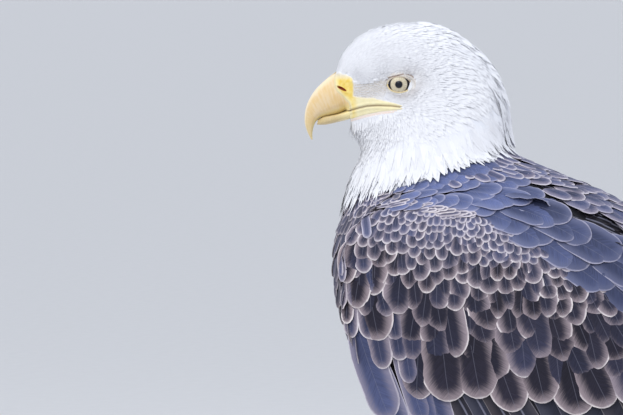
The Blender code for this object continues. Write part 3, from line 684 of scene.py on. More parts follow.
def vaneMesh(name, look, paths, normals, lengths, widths, heights, roll, tones, marks, uvRoots):
    # closed thin vanes: an arched top of several columns and a flat underside
    along, tipStart = capRows(look, lengths, widths)
    count, rows = along.shape
    columns = np.array(look["columns"], float)
    many = len(columns)
    half = (halfShares(along, tipStart, look["rootShare"], look["point"]) * widths[:, None] / 2)[:, :, None]
    tangent = unit(np.gradient(paths, axis=1))
    normal = unit(normals - (normals * tangent).sum(2, keepdims=True) * tangent)
    side = np.cross(normal, tangent)
    lift = heights[:, :, None] + half * look["camber"] * (1 - columns**2)
    lift = lift + half * columns * roll[:, None, None]
    reach = half * columns
    grid = paths[:, :, None, :] + normal[:, :, None, :] * lift[..., None]
    grid = grid + side[:, :, None, :] * reach[..., None]
    places = np.concatenate([grid[:, :-1].reshape(count, -1, 3), grid[:, -1, many // 2][:, None]], 1)
    each = places.shape[1]
    toTip = ((1 - along) * lengths[:, None])[:, :, None]
    rim = np.minimum((1 - np.abs(columns)) * half, toTip)
    far = (along * lengths[:, None])[:, :, None]

    def listed(values):
        # a value for every corner of every vane, whose last row is one point
        values = np.broadcast_to(values, rim.shape)
        rest, end = values[:, :-1].reshape(count, -1), values[:, -1, many // 2]
        return np.concatenate([rest, end[:, None]], 1).ravel()

    corner = np.arange((rows - 1) * many).reshape(rows - 1, many)
    top = np.stack([corner[:-1, :-1], corner[1:, :-1], corner[1:, 1:], corner[:-1, 1:]], -1).reshape(-1, 4)
    under = np.stack([corner[:-1, 0], corner[:-1, -1], corner[1:, -1], corner[1:, 0]], -1)
    last = corner[-1]
    point = (rows - 1) * many
    tips = [(last[j], point, last[j + 1]) for j in range(many - 1)] + [(last[0], last[-1], point)]
    starts = (np.arange(count) * each)[:, None, None]
    quads = (np.concatenate([top, under])[None] + starts).reshape(-1, 4)
    triangles = (np.array(tips)[None] + starts).reshape(-1, 3)
    ends = (corner[0][None, None] + starts).reshape(-1, many)
    mesh = meshFrom(name, places.reshape(-1, 3), [quads, triangles, ends])
    if look["sharp"]:
        mesh.set_sharp_from_angle(angle=math.radians(70))
    share = listed(along[:, :, None])
    addVectors(mesh, "vane", np.stack([listed(reach), listed(far), listed(tones[:, None, None])], -1))
    addVectors(mesh, "coat", np.stack([listed(rim), listed(marks[:, None, None]), share], -1))
    addNumbers(mesh, "size", listed((widths / 2)[:, None, None]))
    ratio = look["patchRatio"]
    uvRoots, patch = widePatches(uvRoots, ratio) if ratio else tuftPatches(uvRoots)
    u = np.repeat(uvRoots[:, 0], each) + listed(columns) * patch[0] / 2
    v = np.repeat(uvRoots[:, 1], each) + (share - 0.5) * patch[1]
    layer = mesh.uv_layers.new(name="OFBake")
    vertexOf = np.zeros(len(mesh.loops), np.int32)
    mesh.loops.foreach_get("vertex_index", vertexOf)
    layer.data.foreach_set("uv", np.stack([u, v], -1)[vertexOf].astype(np.float32).ravel())
    return mesh


def report(mesh, count):
    print(mesh.name, count, "feathers,", sum(len(p.vertices) - 2 for p in mesh.polygons), "triangles")


def thinned(points, spacing, rng):
    # keeps points at least their own spacing apart, taken in random order
    tree = KDTree(len(points))
    for number, point in enumerate(points.tolist()):
        tree.insert(point, number)
    tree.balance()
    free = np.ones(len(points), bool)
    kept = []
    for number in rng.permutation(len(points)).tolist():
        if not free[number]:
            continue
        kept.append(number)
        for found in tree.find_range(points[number].tolist(), spacing[number]):
            free[found[1]] = False
    return np.array(kept)


def scattered(surface, faces, closeness, rng):
    # roots over some faces of a surface, as close together as the coat guide's sizes ask
    flow, length, width, depth, stand = readGuide(surface.middles[faces])
    spacing = np.sqrt(length * width) * closeness
    wanted = surface.areas[faces] / spacing**2
    number = int(wanted.sum() * 5)
    chosen = rng.choice(len(faces), number, p=wanted / wanted.sum())
    weights = rng.dirichlet((1, 1, 1), number)
    corners = surface.places[surface.triangles[faces[chosen]]]
    points = (corners * weights[:, :, None]).sum(1)
    kept = thinned(points, spacing[chosen], rng)
    return points[kept], surface.normals[faces[chosen[kept]]]


def clumped(points, normals, strands, spread, yawSpread, rng):
    # each root becomes a few strands side by side that fan a little, the first one in the middle
    flow, length, width, depth, stand = readGuide(points)
    side = np.cross(normals, flow)
    places, yaws, outer = [], [], []
    for number in range(strands):
        offset = (number - (strands - 1) / 2) / max(strands - 1, 1)
        shift = offset * spread + rng.normal(0, 0.06, len(points))
        places.append(points + side * (shift * width)[:, None])
        yaws.append(shift * yawSpread + rng.normal(0, 0.05, len(points)))
        outer.append(np.full(len(points), abs(offset) * 2))
    return np.concatenate(places), np.tile(normals, (strands, 1)), np.concatenate(yaws), np.concatenate(outer)


def uvOf(points):
    # places on an unwrap of the body's own shape: round its upright line, and up it
    forward, up, side, turn = inProfile(points)
    around = np.arctan2(side, forward + 45 * mm) / (2 * math.pi) + 0.5
    return np.stack([0.02 + 0.96 * around, 0.02 + 0.96 * (up + eyeMid[2]) / 0.71], 1)


def coatPiece(name, points, normals, look, material, rng):
    # small feathers or strands over the body along the coat guide
    places, up, yaw, outer = clumped(points, normals, look["strands"], look["spread"], look["yawSpread"], rng)
    count = len(places)
    flow, length, width, depth, stand = readGuide(places)
    lengths = length * look["length"] * (1 - 0.22 * outer * rng.uniform(0.4, 1, count))
    lengths = lengths * rng.uniform(0.88, 1.1, count)
    widths = width * look["width"] * rng.uniform(0.85, 1.15, count)
    along, tipStart = capRows(look, lengths, widths)
    paths, ups = lay(flesh, places, up, lengths, along, lambda at: readGuide(at)[0], yaw)
    fall = (1 - along) ** look["rise"]
    heights = -depth[:, None] * fall - fleshLook["grow"] + look["lift"] * stand[:, None] * along**2.5
    heights += (rng.uniform(-0.5, 0.5, count) * look["uneven"] * depth)[:, None] * along
    heights += (rng.uniform(-0.5, 0.5, count) * stand)[:, None] * along**2
    if look["under"]:  # dark feathers sink where the white ones lie over them
        forward, up, side, turn = inProfile(paths.reshape(-1, 3))
        hidden = np.clip((up - whiteEdge(forward)) / (14 * mm) + 0.9, 0, 1).reshape(along.shape)
        heights -= look["under"] * hidden
    roll = rng.uniform(-look["rollRange"], look["rollRange"], count)
    forward, up, side, turn = inProfile(places)
    if look["raised"]:  # locks stand up along the nape, turned to either side
        heights += (look["raised"] * np.clip((-forward - 10 * mm) / (60 * mm), 0.35, 1))[:, None] * along**2
        roll = np.sign(side) * rng.uniform(0.3, 0.95, count)
    below = np.clip((-130 * mm - up) / (50 * mm), 0, 1) * np.clip((forward + 170 * mm) / (40 * mm), 0, 1)
    marks = np.clip(rng.normal(look["mark"], 0.1, count) + 0.4 * below, 0, 1)
    if look["mark"] == 0:  # white feathers are greyer round the eyes
        marks = 0.75 * np.exp(-np.maximum(np.hypot(forward / 1.25, up) / mm - 9, 0) / 3.5)
    tones = rng.uniform(0, 1, count)
    mesh = vaneMesh(name, look, paths, ups, lengths, widths, heights, roll, tones, marks, uvOf(places))
    piece = newPiece(name, mesh, material)
    report(mesh, len(points))
    return piece


strandLook = {
    "columns": (-1, 0, 1), "sharp": True, "camber": 0.08, "rootShare": 0.6, "point": 0.85, "patchRatio": None,
    "tipRound": 99, "tipLeast": 0.3, "bodyRows": 2, "tipRows": 4, "strands": 3, "spread": 0.62,
    "yawSpread": -0.12, "length": 1.0, "width": 0.95, "rise": 1.25, "lift": 1.0, "uneven": 0.12,
    "rollRange": 0.04, "mark": 0.0, "under": 0.0, "raised": 0.0,
}
bodyLook = dict(
    strandLook, columns=(-1, -0.55, 0, 0.55, 1), camber=0.22, rootShare=0.4, point=0.15, tipRound=0.55,
    bodyRows=4, strands=1, spread=0.0, yawSpread=0.0, width=1.12, length=0.9, rollRange=0.12, mark=0.6,
    under=3.0 * mm,
)


def through(rows, shares):
    # a smooth curve through evenly numbered rows, read at shares of 0 to 1
    rows = np.array(rows, float)
    last = len(rows) - 1
    padded = np.concatenate([[2 * rows[0] - rows[1]], rows, [2 * rows[-1] - rows[-2]]])
    at = np.clip(np.asarray(shares, float), 0, 1) * last
    start = np.minimum(at.astype(int), last - 1)
    t = (at - start)[..., None]
    a, b, c, d = (padded[start + k] for k in range(4))
    return 0.5 * (2 * b + (c - a) * t + (2 * a - 5 * b + 4 * c - d) * t**2 + (3 * b - a - 3 * c + d) * t**3)


# outlines and lines of the bare face, as (forward, up) mm from the eyes
faceShape = {
    "bare": (
        (70, 12), (57, 11.6), (49, 8.8), (43, 5.4), (41.0, 1.6), (30, 2.8), (20, 4.4), (12.5, 6.4),
        (9.5, 0), (10, -8), (13, -12), (10, -15), (4, -17), (-3, -19), (-3.5, -21), (-1, -22.6),
        (6, -24.2), (16, -26.6), (30, -30.0), (43, -33.2), (50, -35.5), (60, -39), (80, -42), (80, 0),
    ),
    "yellow": (
        (64, 13), (57, 12.5), (49, 9.4), (42, 5.6), (41.3, 0), (41.3, -11), (36, -12), (30, -12.6),
        (24, -12.2), (20, -13.6), (12, -15.4), (5, -16.8), (-2.4, -18.8), (-3.6, -20.8), (-1.5, -22.4),
        (6, -23.2), (16, -24.4), (24, -26.0), (33, -28.2), (43, -31.6), (60, -37), (70, -30), (66, 0),
    ),
    "mouth": (
        (64, -29.4), (55, -27.9), (50, -26.2), (43, -23.6), (36, -21.5), (29, -19.8), (20, -19.2), (8, -19.3),
        (-2.5, -20.4),
    ),
    "ridge": ((43, 2.8), (30, 3.8), (20, 5.4), (12, 7.4), (6, 9.6), (-2, 10.6), (-10, 9.2), (-20, 5.5)),
    "seam": (
        (58.6, 10), (58.2, 4), (57.8, -3), (56, -6.6), (51.3, -10.8), (45.6, -16.6), (43.8, -21), (43.8, -30),
    ),
    "fold": ((12.4, 3.9), (8.5, 6.2), (1.5, 7.9), (-5, 9.6), (-10, 8.4), (-15.8, 4.6)),
    "nostril": (51.6, -4.2), "nostrilHalf": (4.7, 1.35), "nostrilTilt": 27.0,
    "voxel": 0.75 * mm, "smoothing": 14, "grow": 0.0,
}


def lineApart(forward, up, line):
    # distance in mm from a line of points, and how far along it the nearest place is
    at = np.stack([forward, up], -1)[:, None] / mm
    line = np.array(line, float)
    start, leg = line[:-1], np.diff(line, axis=0)
    share = np.clip(((at - start) * leg).sum(-1) / (leg**2).sum(-1), 0, 1)
    apart = np.linalg.norm(at - start - share[..., None] * leg, axis=-1)
    return apart.min(1), (apart.argmin(1) + share[np.arange(len(at)), apart.argmin(1)]) / len(leg)


def depthInside(forward, up, outline):
    # distance in mm from an outline: positive inside it
    line = np.array(outline + outline[:1], float)
    apart = lineApart(forward, up, line)[0]
    x, y = forward[:, None] / mm, up[:, None] / mm
    x0, y0, x1, y1 = line[:-1, 0], line[:-1, 1], line[1:, 0], line[1:, 1]
    crosses = (y0 > y) != (y1 > y)
    slope = np.where(y1 == y0, 1e-9, y1 - y0)
    inside = (crosses & (x < (x1 - x0) * (y - y0) / slope + x0)).sum(1) % 2 == 1
    return np.where(inside, apart, -apart)


def bell(apart, width):
    # 1 where nothing is apart, fading over a width
    return np.exp(-((apart / width) ** 2))


def nostrilShare(forward, up):
    # 1 at the nostril's rim, less inside it
    tilt = math.radians(faceShape["nostrilTilt"])
    x = forward / mm - faceShape["nostril"][0]
    y = up / mm - faceShape["nostril"][1]
    along = x * math.cos(tilt) + y * math.sin(tilt)
    across = -x * math.sin(tilt) + y * math.cos(tilt)
    return np.hypot(along / faceShape["nostrilHalf"][0], across / faceShape["nostrilHalf"][1])


def beyondSeam(forward, up):
    # distance in mm from the border of horn and cere, positive on the horn
    apart, _ = lineApart(forward, up, faceShape["seam"])
    line = np.array(faceShape["seam"], float)[::-1]
    horn = forward / mm > np.interp(up / mm, line[:, 1], line[:, 0])
    return np.where(horn, apart, -apart)


def cutFace(base):
    # the face out of a mesh of the whole head, with the parts that stay bare made finer
    places = placesOf(base)
    forward, up, side = inHead(places)
    drop = (forward < -30 * mm) | (up < -50 * mm) | (beyondSeam(forward, up) > 5)
    for eye in (leftEye, rightEye):
        fromEye = places - eye
        drop |= np.hypot((fromEye @ headAhead) / 11.2, fromEye[:, 2] / 8.2) < mm
    work = bmesh.new()
    work.from_mesh(base)
    work.verts.ensure_lookup_table()
    bmesh.ops.delete(work, geom=[work.verts[i] for i in np.flatnonzero(drop)], context="VERTS")
    bareEdges = []
    for edge in work.edges:
        middle = np.array((edge.verts[0].co + edge.verts[1].co) / 2) - eyeMid
        ahead, above = middle @ headAhead, middle[2]
        if ahead > 36 * mm and above < 9 * mm or ahead > -5 * mm and -29 * mm < above < -14 * mm:
            bareEdges.append(edge)
    bmesh.ops.subdivide_edges(work, edges=bareEdges, cuts=1, use_grid_fill=True, smooth=0.0)
    return asMesh(work, "face")


def makeFace():
    # fine skin over the front of the head: cere, nostrils, bare lores, brows and the corners of the mouth
    base = remeshed(["head", "cere", "bill_upper"], faceShape)
    surface = Surface(base)
    mesh = cutFace(base)
    places = placesOf(mesh)
    forward, up, side = inHead(places)
    yellowIn = depthInside(forward, up, faceShape["yellow"])
    bareIn = depthInside(forward, up, faceShape["bare"])
    sideways = np.clip(np.abs(side) / mm / 8, 0, 1)
    yellow = np.clip(yellowIn / 1.2 + 0.5, 0, 1) * np.clip((10.5 - up / mm) / 7, 0, 1)
    mouthApart, _ = lineApart(forward, up, faceShape["mouth"])
    ridgeApart, _ = lineApart(forward, up, faceShape["ridge"])
    foldApart, _ = lineApart(forward, up, faceShape["fold"])
    ahead = beyondSeam(forward, up)
    nostril = nostrilShare(forward, up)
    below = np.clip((0.6 - yellowIn) / 1.2, 0, 1) * (up < -20 * mm)
    coated = np.clip(-bareIn / 2, 0, 1)
    height = -0.35 + 0.55 * yellow * (1 - below)
    height -= 1.0 * np.clip(ahead / 1.5, 0, 1)  # dips under the horn
    height -= 1.0 * bell(mouthApart, 0.8) * (forward > -4 * mm) * sideways
    height += 0.55 * bell(mouthApart - 2.2, 1.2) * yellow * sideways  # lips
    height += 0.9 * bell(ridgeApart, 1.9) * sideways * (1 - coated)  # brow
    height -= 0.5 * bell(np.hypot(forward / mm - 27, (up / mm + 4) * 1.5), 12) * sideways  # hollow lore
    height -= 2.4 * (1 - np.clip((nostril - 0.55) / 0.5, 0, 1)) * sideways
    height += 0.3 * bell(nostril - 1.35, 0.35) * sideways
    height -= 0.45 * coated
    height -= 0.5 * bell(foldApart, 0.8) * sideways
    movePlaces(mesh, places + normalsOf(mesh) * (height * mm)[:, None])
    lore = np.clip(bareIn / 3 + 0.2, 0, 1) * (1 - yellow) * (up > -18 * mm)
    # less grey low at the rear, so the grey is deepest under the brow: partly the lore's own shape, partly
    # painted shade under the brow
    lore *= 1 - 0.55 * np.clip((-5 - up / mm) / 8, 0, 1) * np.clip((30 - forward / mm) / 12, 0, 1)
    aroundEye = np.clip((17 - np.hypot(forward, up * 1.4) / mm) / 3, 0, 1)
    lore = np.maximum(lore, 0.75 * aroundEye * (up > -14 * mm))
    atMouth = (forward > 2 * mm) * (forward < 44 * mm) * (up < -20 * mm)
    pink = np.clip(1 - np.abs(yellowIn + 1.4) / 1.8, 0, 1) * atMouth
    inside = 1 - np.clip((nostril - 0.8) / 0.3, 0, 1)
    # the creases are darkened as painted shade
    creaseShades = bell(mouthApart, 0.7) * (forward > -3.5 * mm) + 0.35 * bell(ahead + 0.4, 0.8) * (up > -25 * mm)
    creaseShades += 0.9 * bell(foldApart, 0.6) * sideways
    addVectors(mesh, "marks", np.stack([np.ones(len(places)), lore, yellow], 1))
    addVectors(mesh, "face", np.stack([inside, np.clip(creaseShades, 0, 1), pink], 1))
    nearHorn = 0.85 * np.clip((ahead + 4.5) / 4, 0, 1)
    lips = np.clip((44 - forward / mm) / 8, 0, 1)
    addNumbers(mesh, "lip", np.maximum(lips, nearHorn) * yellow)
    mesh.shade_smooth()
    return mesh, surface


# the lids' rows from their edge outwards, mm: half length, half height, height over the ball or the face,
# share of the face in it, more height above the eye
lidSteps = (
    (10.0, 6.6, 0.10, 0.0, 0.0), (10.15, 6.75, 0.38, 0.0, 0.0), (10.5, 7.1, 0.7, 0.0, 0.1),
    (10.9, 7.5, 0.85, 0.1, 0.3), (11.4, 8.0, 0.55, 0.3, 0.1), (12.0, 8.6, 0.25, 0.5, 0.5),
    (12.6, 9.3, 0.1, 0.7, 1.1), (13.2, 9.9, -0.3, 0.85, 1.0), (14.2, 10.9, -0.9, 1.0, 0.9),
    (16, 12.5, -1.8, 1.0, 0.2),
)


def lidRows(hand):
    # rows from the lid's edge on the ball out to the face around it
    centre = leftEye if hand > 0 else rightEye
    outward = headLeft * hand
    turn = np.linspace(0, 2 * math.pi, 96, endpoint=False)
    rows = []
    for across, high, raised, share, fold in through(lidSteps, np.linspace(0, 1, 28)):
        ahead = across * np.cos(turn)
        above = high * np.sin(turn)
        ballOut = np.sqrt(np.maximum((eyeRadius / mm) ** 2 - ahead**2 - above**2, 9.0))
        flat = centre + (ahead * mm)[:, None] * headAhead + (above * mm)[:, None] * upward
        onFace, _ = flesh.castFrom(flat + outward * 40 * mm, np.broadcast_to(-outward, flat.shape))
        faceOut = (onFace - centre) @ outward / mm
        out = ballOut * (1 - share) + faceOut * share + raised + fold * np.clip(np.sin(turn) + 0.15, 0, 1)
        out -= 0.7 * bell(lineApart(ahead * mm, above * mm, faceShape["fold"])[0], 0.7)
        rows.append(flat + out[:, None] * mm * outward)
    return np.array(rows)


def makeLids():
    # both pairs of lids as one mesh, yellow at the edge, with painted shade in the crease above
    places = [lidRows(hand) for hand in (1, -1)]
    count, around = places[0].shape[:2]
    quads = ringQuads(count, around)[:, [0, 3, 2, 1]]
    faces = np.concatenate([quads, quads[:, ::-1] + count * around])
    mesh = meshFrom("lids", np.concatenate([p.reshape(-1, 3) for p in places]), [faces])
    share = np.tile(np.repeat(np.arange(count) / (count - 1), around), 2)
    above = np.tile(np.sin(np.linspace(0, 2 * math.pi, around, endpoint=False)), len(share) // around)
    away = np.concatenate([(p - c).reshape(-1, 3) for p, c in zip(places, (leftEye, rightEye))])
    foldApart, _ = lineApart(away @ headAhead, away[:, 2], faceShape["fold"])
    yellow = np.clip((0.46 - share) / 0.1, 0, 1) * (1 - 0.75 * np.clip(above * 1.6, 0, 1))
    creaseShade = 1.0 * bell(foldApart, 0.6) + 0.4 * bell(share - 0.3, 0.08) * np.clip(above * 2, 0, 1)
    edge = np.clip((0.14 - share) / 0.1, 0, 1) * 0.9
    ones = np.ones(len(share))
    addVectors(mesh, "marks", np.stack([ones, ones - 0.5 * np.clip(-above, 0, 1), 0.6 * yellow], 1))
    addVectors(mesh, "face", np.stack([edge, creaseShade, ones * 0], 1))
    return mesh


def overEye(points):
    # within the lids, up to the fold over the eye
    forward, up, side, turn = inProfile(points)
    foldLine = np.array(faceShape["fold"])[::-1]
    folded = (up > 0) & (up / mm < np.interp(forward / mm, foldLine[:, 0], foldLine[:, 1], 0, 0) + 1.3)
    behind = np.where(forward < 0, 13.2, 11.4)
    return (np.hypot(forward / behind, up / 8.8) < mm) | folded & (forward > -13 * mm)


def coatParts(rng):
    # which faces of the flesh carry which part of the coat
    middles = flesh.middles
    forward, up, side, turn = inProfile(middles)
    onWing = nearWing(middles)
    flow, length, width, depth, stand = readGuide(middles)
    tips = middles + flow * length[:, None] * 0.8
    white = isWhite(tips)
    bareEdge = rng.uniform(-0.5, 2.2, len(middles)) * (up > -12 * mm)
    bare = depthInside(forward, up, faceShape["bare"]) > bareEdge
    coated = ~(onWing | overEye(middles) | overEye(tips) | bare)
    head = coated & white & (up > -40 * mm) & (forward > -200 * mm)
    neck = coated & white & (up <= -40 * mm) & (forward > -200 * mm)
    facing = np.abs(flesh.normals @ headLeft)
    leading = flesh.normals @ np.array((0, -0.95, 0.2)) > 0.45
    mouthApart, _ = lineApart(forward, up, faceShape["mouth"])
    lores = (depthInside(forward, up, faceShape["bare"]) > 0) & (forward < 42 * mm) & (np.abs(side) > 8 * mm)
    lores &= (depthInside(forward, up, faceShape["yellow"]) < 1.2) & (mouthApart > 3)
    return {
        "head": head,
        "neck": neck,
        "tail": coated & white & (forward < -200 * mm),
        "dark": coated & ~white,
        "wingFront": onWing & leading & (up > -222 * mm) & (forward > -40 * mm),
        "nape": (facing < 0.25) & (head & (forward < -10 * mm) | neck & (forward < -60 * mm)),
        "chin": head & (facing < 0.7) & (forward > 16 * mm) & (up < -34 * mm),
        "lores": lores & ~onWing,
    }


def clearOfGap(points):
    # whether the feathers rooted here lie clear of the gap beside the shoulder
    flow, length, width, depth, stand = readGuide(points)
    ahead = [
        inGap(points + flow * (length * share)[:, None] + upward * (width * over)[:, None])
        for share in (0.0, 0.35, 0.7, 1.0) for over in (-0.2, 0.1)
    ]
    return ~np.any(ahead, axis=0)


neckLook = dict(strandLook, strands=5, width=0.78, bodyRows=3, spread=0.9, uneven=0.06)
mantleLook = dict(bodyLook, mark=0.5)
wingFrontLook = dict(bodyLook, width=0.85, length=0.72, mark=0.5, under=0.0)
napeLook = dict(strandLook, spread=0.6, yawSpread=-0.3, bodyRows=3, raised=3.2 * mm)
chinLook = dict(strandLook, yawSpread=-0.3, lift=3.2, width=0.8, length=1.15)
rumpLook = dict(bodyLook, mark=0.0, under=0.0)
bristleLook = dict(
    strandLook, strands=1, spread=0.0, yawSpread=0.0, width=0.36, length=0.85, rise=1.0, lift=2.0,
)


def makeCoat(name, part, closeness, look, material, slot, rng, halves=False):
    # a coat over some faces of the flesh, in one piece or in a left and a right one
    points, normals = scattered(flesh, np.flatnonzero(part), closeness, rng)
    left = inProfile(points)[2] > 0
    for label, chosen in (("_left", left), ("_right", ~left)) if halves else (("", left | True),):
        coatPiece(name + label, points[chosen], normals[chosen], look, material, rng)


def makeBodyCoat(part, rng):
    # the dark feathers of the back and of the breast, belly and thighs, clear of the wings' own
    points, normals = scattered(flesh, np.flatnonzero(part), 0.40, rng)
    clear = clearOfGap(points) & ~underShoulder(points)
    points, normals = points[clear], normals[clear]
    forward, up, side, turn = inProfile(points)
    mantle = (normals @ np.array((0, 0.6, 0.8)) > 0.0) & (forward < -20 * mm)
    kinds = (
        ("mantleCoat_", mantle, mantleLook, darkFeathers),
        ("bodyCoat_", ~mantle, bodyLook, breastFeathers),
    )
    for hand, onSide in zip(hands, (side > 0, side <= 0)):
        for name, chosen, look, material in kinds:
            mine = chosen & onSide
            coatPiece(name + hand, points[mine], normals[mine], look, material, rng)


def makeCoats():
    rng = np.random.default_rng(7)
    parts = coatParts(rng)
    white = (whiteFeathers, "white_coat", rng)
    makeCoat("headCoat", parts["head"], 0.36, strandLook, *white, halves=True)
    makeCoat("neckCoat", parts["neck"], 0.36, neckLook, *white, halves=True)
    makeBodyCoat(parts["dark"], rng)
    makeCoat("wingFrontCoat", parts["wingFront"], 0.36, wingFrontLook, darkFeathers, "brown_coat", rng)
    makeCoat("napeLocks", parts["nape"], 0.5, napeLook, *white)
    makeCoat("chinLocks", parts["chin"], 0.9, chinLook, *white)
    makeCoat("tailCoverts", parts["tail"], 0.40, rumpLook, tailFeathers, "white_coat", rng)
    rng = np.random.default_rng(29)
    makeCoat("loreBristles", parts["lores"], 0.75, bristleLook, whiteFeathers, "white_coat", rng)


def insetFlesh():
    # the flesh set in by the depth of its coat, further under the cere and the wings' feathers
    places = flesh.places
    forward, up, side, turn = inProfile(places)
    winged = nearWing(places)
    inset = readGuide(places)[3] * 1.05
    inset += 1.4 * mm * ((forward > -18 * mm) & (up > -34 * mm) & (up < 18 * mm))
    inset += 3.0 * mm * ((forward > 34 * mm) & (up > -34 * mm) & (up < 14 * mm))
    inset = np.where(winged, 3.4 * mm, inset)
    placed = places - normalsOf(fleshMesh) * (inset + fleshLook["grow"])[:, None]
    inward = np.sign(places[:, :1]) * np.array((-0.9, 0.0, 0.0)) + np.array((0.0, 0.1, -0.35))
    placed += inward * (np.where(winged, 5.5, 0.0) * mm)[:, None]
    movePlaces(fleshMesh, placed)
    pale = isWhite(places + upward * 7 * mm) & ~winged
    none = np.zeros(len(places))
    addVectors(fleshMesh, "marks", np.stack([pale.astype(float), none, none], 1))
    addVectors(fleshMesh, "face", np.stack([none, none, none], 1))
    fleshMesh.shade_smooth()


def makeSkin():
    # the inset flesh, the bare face, the lids and the feet in one piece
    insetFlesh()
    skin = newPiece("skin", fleshMesh, skinMaterial)
    face, surface = makeFace()
    bpy.ops.object.select_all(action="DESELECT")
    for part, material in ((face, skinMaterial), (makeLids(), skinMaterial), (makeFeet(), footMaterial)):
        keepInside(part)
        part.materials.append(material)
        newObject(part.name, part).select_set(True)
    skin.select_set(True)
    bpy.context.view_layer.objects.active = skin
    bpy.ops.object.join()
    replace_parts(skin, *fleshNodes, "cere", *wingNodes, *footNodes)
    print("skin", len(skin.data.polygons), "faces")
    return surface


def makeFootMaterial():
    # yellow scales with darker lines between them
    material, tree, shader = newMaterial("feet", 0.5)
    cells = node(tree, "ShaderNodeTexVoronoi", feature="DISTANCE_TO_EDGE")
    feed(tree, cells.inputs["Scale"], 330.0)
    feed(tree, cells.inputs["Vector"], placeOn(tree))
    plate = ramp(tree, cells.outputs["Distance"], 0.02, 0.22)
    tint = noise(tree, placeOn(tree), 120.0, 3.0)
    colour = mixColour(tree, tint, (0.72, 0.46, 0.08), (0.84, 0.58, 0.13))
    dress(tree, shader, mixColour(tree, plate, (0.45, 0.28, 0.07), colour), plate, 0.8, 0.6 * mm)
    return material


footMaterial = makeFootMaterial()


def makeFeet():
    mesh = remeshed(footNodes, {"voxel": 1.0 * mm, "smoothing": 4, "grow": 0.35 * mm})
    mesh.shade_smooth()
    return mesh


def makeHornMaterial(name, look):
    # horn with faint layers along its growth, paler at the ridge (partly the horn's own pale ridge, partly a
    # painted highlight along the top), darker at the tip
    material, tree, shader = newMaterial(name, look["roughness"])
    shader.inputs["Coat Weight"].default_value = look["coat"]
    growth, rise, beside = partsOf(tree, "growth")
    layers = noise(tree, joinXyz(tree, maths(tree, "MULTIPLY", growth, 46.0), rise, beside), 1.0, 4.0, 0.6)
    cloud = maths(tree, "ADD", noise(tree, placeOn(tree), 90.0, 3.0), layers)
    colour = mixColour(tree, ramp(tree, cloud, 0.75, 1.25), look["base"], look["cloud"])
    for share, tint in (
        (ramp(tree, growth, 0.55, 1.0), look["tip"]),
        # the pale ridge along the top is partly a painted highlight
        (ramp(tree, rise, 0.72, 1.0, 0.0, look["ridgeShare"]), look["ridge"]),
        (ramp(tree, rise, -0.35, -0.8, 0.0, look["edgeShare"]), look["edge"]),
        (ramp(tree, rise, -0.90, -0.99, 0.0, 0.5), look["ridge"]),
        (ramp(tree, growth, look["seamReach"], 0.0, 0.0, look["seamShare"]), look["seam"]),
    ):
        colour = mixColour(tree, share, colour, tint)
    dress(tree, shader, colour, layers, look["bump"], 0.5 * mm)
    return material


billLook = {
    "roughness": 0.42, "coat": 0.15, "base": (0.66, 0.46, 0.205), "cloud": (0.69, 0.53, 0.32),
    "tip": (0.66, 0.52, 0.27), "ridge": (0.84, 0.72, 0.50), "ridgeShare": 0.8, "edge": (0.74, 0.60, 0.24),
    "edgeShare": 0.75, "seam": (0.45, 0.36, 0.42), "seamShare": 0.6, "seamReach": 0.03, "bump": 0.18,
}
# the lower bill is a darker copy of the upper's horn: painted shade for its underside in the upper bill's
# shadow; its seam is the gape's own yellow
lowerShadedLook = dict(
    billLook, base=(0.60, 0.46, 0.22), cloud=(0.66, 0.52, 0.28), tip=(0.62, 0.47, 0.22),
    ridge=(0.66, 0.53, 0.28), edge=(0.58, 0.44, 0.22), seam=(0.88, 0.76, 0.38), seamShare=1.0, seamReach=0.6,
)
clawLook = {
    "roughness": 0.28, "coat": 0.5, "base": (0.012, 0.011, 0.012), "cloud": (0.03, 0.026, 0.024),
    "tip": (0.02, 0.018, 0.018), "ridge": (0.05, 0.045, 0.042), "ridgeShare": 0.4,
    "edge": (0.02, 0.018, 0.018), "edgeShare": 0.5, "seam": (0.06, 0.05, 0.04), "seamShare": 0.5,
    "seamReach": 0.03, "bump": 0.2,
}
billHorn = makeHornMaterial("bill horn", billLook)
lowerShadedHorn = makeHornMaterial("lower bill horn shaded", lowerShadedLook)
clawHorn = makeHornMaterial("claw horn", clawLook)


def hornMesh(name, shape):
    # an oval loft through the shape's stations, closer together at the tip
    shares = 1 - (1 - np.linspace(0, 1, shape["rings"])) ** shape["ease"]
    station = through(shape["stations"], shares)
    around = shape["around"]
    angle = np.arange(around) * 2 * math.pi / around
    power = 2 / shape["fullness"]
    rise = np.sign(np.cos(angle)) * np.abs(np.cos(angle)) ** power
    swell = np.sign(np.sin(angle)) * np.abs(np.sin(angle)) ** power
    top, bottom = station[:, None, :2], station[:, None, 2:4]
    middle = bottom + (top - bottom) * shape["widest"]
    ring = middle + np.clip(rise, 0, 1)[None, :, None] * (top - middle)
    ring = ring + np.clip(rise, -1, 0)[None, :, None] * (middle - bottom)
    side = swell[None] * station[:, None, 4]
    places = headPlace(ring[..., 0] * mm, ring[..., 1] * mm, side * mm).reshape(-1, 3)
    grid = np.arange(len(places)).reshape(-1, around)
    mesh = meshFrom(name, places, [ringQuads(len(shares), around), grid[:1], grid[-1:, ::-1]])
    growth = np.stack(np.broadcast_arrays(shares[:, None], rise[None], swell[None]), -1)
    addVectors(mesh, "growth", growth.reshape(-1, 3))
    return mesh


